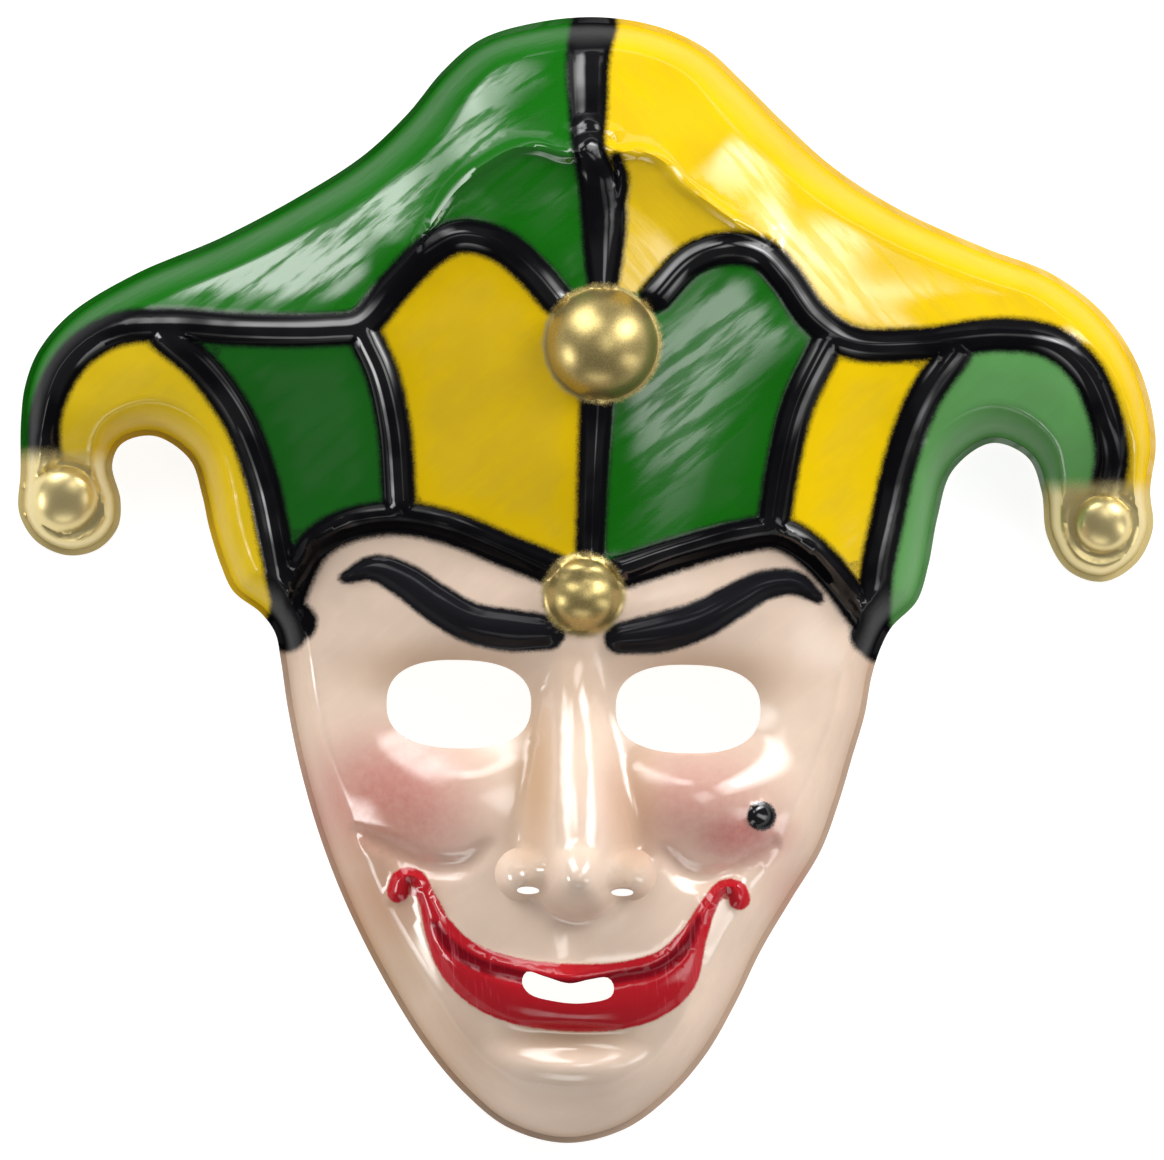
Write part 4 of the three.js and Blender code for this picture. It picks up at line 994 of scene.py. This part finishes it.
def sprayed_paint():
    """Paint sprayed through stencils on the outer face, under a clear glaze, with painted shade along the rim and in
    the face's hollows
    """
    f = Finish("sprayed_paint")
    dots = f.grain(0.42, 2, 0.7)
    cloud = f.grain(2.2, 3, 0.6)
    broad = f.grain(26, 3, 0.55)
    lean = f.mark("right_lobe")
    brushed = f.mark("brushed")
    stroke_length = (0.030, 0.0042, 0.01)
    along = f.mix(lean, f.turned(40, stroke_length), f.turned(-48, stroke_length))
    streaks = f.grain(1, 4, 0.6, along, size_in_place=True)
    edge = f.mark("edge")

    def covered(name, reach, soft, speckle=1.0, ragged=0.6):
        """Share of a colour at a distance past its edge, with sprayed dots along the edge"""
        moved = f.mark(name) + dots * (3.2 * speckle) + cloud * (2.2 * ragged)
        return f.ramp(moved, reach + soft, reach - soft)

    panel = f.node("Attribute", {"attribute_name": "panel"}, output="Color")
    colour = f.mix(f.ramp(broad, -0.16, 0.22, 0.0, 0.2), panel, f.mix(0.5, panel, (0, 0, 0, 1)))
    colour = f.mix(f.ramp(dots + cloud * 0.5, 0.16, 0.42, 0.0, 0.16), colour, f.mix(0.5, panel, (0, 0, 0, 1)))

    # Painted shade: darker towards the outline, where the surface turns away down the side walls; weaker on the cap
    rim_shade = f.ramp(edge + cloud * 3, 13.0, 1.5, 0.0, 0.38) * f.ramp(brushed, 0.1, 0.2, 1.0, 0.25)
    colour = f.mix(rim_shade, colour, f.mix(1.0, colour, RIM_SHADE_COLOUR, "MULTIPLY"))
    colour = f.mix(f.mark("blush") * (1 + cloud * 0.5), colour, BLUSH_RED)
    # Painted shade: brown darkening in the face's hollows and on its sides that turn from the light
    colour = f.mix(f.mark("shade") * 0.9, colour, PAINTED_SHADE_BROWN)
    lip_edge = f.mark("lip")
    fleck = f.ramp(dots + cloud * 0.4, 0.20, 0.36) * f.ramp(lip_edge, 7.0, 0.5, 0.0, 0.5)
    colour = f.mix(fleck * f.ramp(f.place_x(), 0.0, -0.03), colour, LIP_RED)
    lip = covered("lip", 0.15, 0.35, 0.22, 0.25)
    groove = f.ramp(f.mark("mouth"), 0.2, -1.6)
    red = f.mix(groove * 0.9, LIP_RED, DARK_RED)
    hairs = f.grain(1, 2, 0.5, f.turned(96, (0.009, 0.00075, 0.01)), size_in_place=True)
    red = f.mix(f.ramp(hairs, 0.05, 0.3, 0.0, 0.35) * f.ramp(f.place_x().sum("ABSOLUTE"), 0.014, 0.024), red, LIP_PINK)
    colour = f.mix(lip, colour, red)
    brow = covered("brow", 0.9, 0.8, 0.35, 0.35)
    black = covered("black", 0.8, 1.1, 0.5, 0.4)
    spot = covered("spot", 0.2, 0.4, 0.5, 0.3)
    pitch = f.mix(f.ramp(dots, 0.1, 0.5, 0.0, 0.25), BLACK, SOFT_BLACK)
    colour = f.mix(brow, colour, BROW_BLACK)
    colour = f.mix(black.sum("MAXIMUM", spot), colour, pitch)
    gold_edge = f.mark("gold") + dots * 2.4 + cloud * 1.6
    gold_soft = 1.0 + f.mark("gold_soft") * 2.4
    gold = f.ramp(gold_edge, gold_soft, 0 - gold_soft)
    gilt = f.mix(f.ramp(dots, -0.2, 0.3, 0.2, 0.7), GOLD, DARK_GOLD)
    gilt = f.mix(f.mark("gold_soft") * 0.75, gilt, PALE_GOLD)
    colour = f.mix(gold, colour, gilt)

    glance = f.node("LayerWeight", {}, {"Blend": 0.5}, output="Facing")
    glaze = f.ramp(glance, 0.30, 0.45, 1.0, 0.03)
    brushed_glaze = 1 - brushed * (1 - black) * (1 - f.ramp(streaks, -0.11, 0.03, 0.2, 1.0))
    crest = f.ramp(f.mark("crest") + cloud, 0.9, -0.6)
    brushed_glaze = brushed_glaze.sum("MAXIMUM", crest)
    worn = (1 - gold * 0.95) * (1 - lip * (0.45 + groove * 0.4)) * (1 - brow * 0.88)
    glints = f.ramp(f.grain(20, 2), -0.12, 0.14, 0.9, 0.3)
    glints = glints.sum("MAXIMUM", f.ramp(f.mark("black"), -2.4, -1.0, 0.3, 0.95))
    worn = worn * (1 - black * glints) * (1 - f.mark("blush") * 0.4)
    dulled = f.ramp(f.mark("black") + streaks * 14, 10.0, 3.0)
    worn = worn * (1 - dulled * (1 - black) * (1 - lean) * (1 - crest) * 0.85)
    values = {
        "Base Color": colour, "Metallic": gold * 0.85, "IOR": 1.06, "Coat IOR": 1.78,
        "Roughness": f.ramp(edge, 3.0, 1.0, 0.34, 0.5) + brow * 0.15 + gold * 0.03,
        "Coat Weight": glaze * brushed_glaze * worn,
        "Coat Roughness": 0.06,
    }
    open_paint = (1 - gold) * (1 - black)
    relief = broad * 2.4 + streaks * (0.4 + brushed * 2.4) * open_paint + f.grain(1.1, 1) * 0.1
    return f.close(values, relief, 0.12)


def bare_plastic():
    """The unpainted inside, with the marks of the mould and a dusting of paint at the edges"""
    f = Finish("bare_plastic")
    cloud = f.grain(9, 4, 0.6)
    fine = f.grain(0.5, 2, 0.6)
    colour = f.mix(f.ramp(cloud, -0.3, 0.3), paint(226, 212, 194), paint(214, 196, 174))
    dust = f.ramp(f.mark("edge") + cloud * 5, 2.4, 0.2, 0.0, 0.5)
    colour = f.mix(dust, colour, paint(196, 176, 150))
    rough = 0.34 + f.ramp(cloud, -0.3, 0.3, 0.0, 0.12)
    values = {"Base Color": colour, "Roughness": rough, "IOR": 1.5}
    return f.close(values, cloud * 1.2 + fine * 0.25, 0.15)


mask = formed_mask()
mask.data.materials.append(sprayed_paint())
mask.data.materials.append(bare_plastic())
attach(mask, "root")
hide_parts("mask_shell")


def soften_edges(light):
    """Let a light fade towards its edges, as a softbox's cloth does"""
    light.use_nodes = True
    tree = light.node_tree
    tree.nodes.clear()
    nodes, links = tree.nodes, tree.links
    place = nodes.new("ShaderNodeNewGeometry")
    apart = nodes.new("ShaderNodeSeparateXYZ")
    links.new(place.outputs["Parametric"], apart.inputs[0])
    share = None
    for side in ("X", "Y"):
        centred = nodes.new("ShaderNodeMath")
        centred.operation = "SUBTRACT"
        links.new(apart.outputs[side], centred.inputs[0])
        centred.inputs[1].default_value = 0.5
        off = nodes.new("ShaderNodeMath")
        off.operation = "ABSOLUTE"
        links.new(centred.outputs[0], off.inputs[0])
        fade = nodes.new("ShaderNodeMapRange")
        fade.interpolation_type = "SMOOTHSTEP"
        links.new(off.outputs[0], fade.inputs["Value"])
        fade.inputs["From Min"].default_value = 0.5
        fade.inputs["From Max"].default_value = 0.5 * (1 - LIGHT_SOFTNESS)
        if share is None:
            share = fade.outputs[0]
        else:
            both = nodes.new("ShaderNodeMath")
            both.operation = "MULTIPLY"
            links.new(share, both.inputs[0])
            links.new(fade.outputs[0], both.inputs[1])
            share = both.outputs[0]
    glow = nodes.new("ShaderNodeEmission")
    links.new(share, glow.inputs["Strength"])
    out = nodes.new("ShaderNodeOutputLight")
    links.new(glow.outputs[0], out.inputs[0])


# ---
def studio():
    """Pale floor that glows, most in a pool round the mask, soft lights and the camera straight above"""
    bpy.ops.object.select_all(action="DESELECT")
    bpy.ops.mesh.primitive_plane_add(size=6, location=(0, 0, -0.0004))
    floor = bpy.context.object
    floor.name = "floor"
    finish = Finish("glowing_pale_floor")
    away = finish.node("VectorMath", {"operation": "LENGTH"}, {0: finish.place}, output="Value")
    # The floor glows, brightest in a pool round the mask: it lights the mask from below and keeps the floor white in
    # the mask's shade
    pool = finish.ramp(away + finish.grain(60, 3) * 0.02, 0.235, 0.40, 1.0, 0.0)
    floor.data.materials.append(finish.close({
        "Base Color": finish.mix(pool, (0.42, 0.42, 0.42, 1), (0.32, 0.32, 0.32, 1)),
        "Roughness": 0.9, "Specular IOR Level": 0.0,
        "Emission Color": finish.mix(pool, (FAR_GLOW,) * 3 + (1,), (FLOOR_GLOW,) * 3 + (1,)),
        "Emission Strength": 1.0,
    }))

    world = bpy.data.worlds.new("studio")
    bpy.context.scene.world = world
    world.use_nodes = True
    world.node_tree.nodes["Background"].inputs["Color"].default_value = (1, 1, 1, 1)
    world.node_tree.nodes["Background"].inputs["Strength"].default_value = ROOM_LIGHT

    for name, turn, rise, half_width, half_height, brightness in LIGHTS:
        turn, rise = math.radians(turn), math.radians(rise)
        towards = Vector((
            math.cos(rise) * math.cos(turn), math.cos(rise) * math.sin(turn), math.sin(rise),
        ))
        light = bpy.data.lights.new(name, "AREA")
        light.shape = "RECTANGLE"
        light.size = 2 * LIGHT_AWAY * math.tan(math.radians(half_width))
        light.size_y = 2 * LIGHT_AWAY * math.tan(math.radians(half_height))
        light.energy = brightness * math.pi * light.size * light.size_y
        soften_edges(light)
        lamp = bpy.data.objects.new(name, light)
        lamp.location = towards * LIGHT_AWAY
        lamp.rotation_euler = towards.to_track_quat("Z", "Y").to_euler()
        bpy.context.collection.objects.link(lamp)

    lens = bpy.data.cameras.new("camera")
    lens.sensor_width, lens.sensor_fit = 36, "HORIZONTAL"
    lens.lens = 36 * (CAMERA_HEIGHT - FOCUS_LEVEL) / FRAME_WIDTH
    lens.clip_start, lens.clip_end = 0.1, 20
    camera = bpy.data.objects.new("camera", lens)
    camera.location = (CAMERA_ASIDE[0], CAMERA_ASIDE[1], CAMERA_HEIGHT)
    camera.rotation_euler = (0, 0, CAMERA_ROLL)
    bpy.context.collection.objects.link(camera)
    bpy.context.scene.camera = camera
    bpy.context.scene.view_settings.view_transform = "Standard"


FLOOR_GLOW = 0.85
FAR_GLOW = 0.3
ROOM_LIGHT = 0.14
FRAME_WIDTH = 0.3306
FOCUS_LEVEL = 0.03
CAMERA_HEIGHT = 4.5
CAMERA_ASIDE = (-0.0007, 0.0)
CAMERA_ROLL = 0.0212

LIGHT_AWAY = 1.4
LIGHT_SOFTNESS = 0.7

# Lights: where they stand in degrees round from the mask's right and up from the floor,
# half their width and height as seen from the mask, in degrees, and their brightness
LIGHTS = [
    ("key", 35, 29, 9, 9, 8),
    ("right", 36, 27, 18, 32, 7.0),
    ("left", 124, 25, 25, 33, 6.0),
    ("left_fill", 196, 14, 14, 12, 9.0),
    ("lower_right", -23, 20, 12, 25, 3.2),
    ("overhead", 38, 73, 16, 15, 2.8),
    ("behind", 98, 45, 9, 12, 3.6),
    ("below", -95, 20, 28, 11, 2.3),
]

studio()
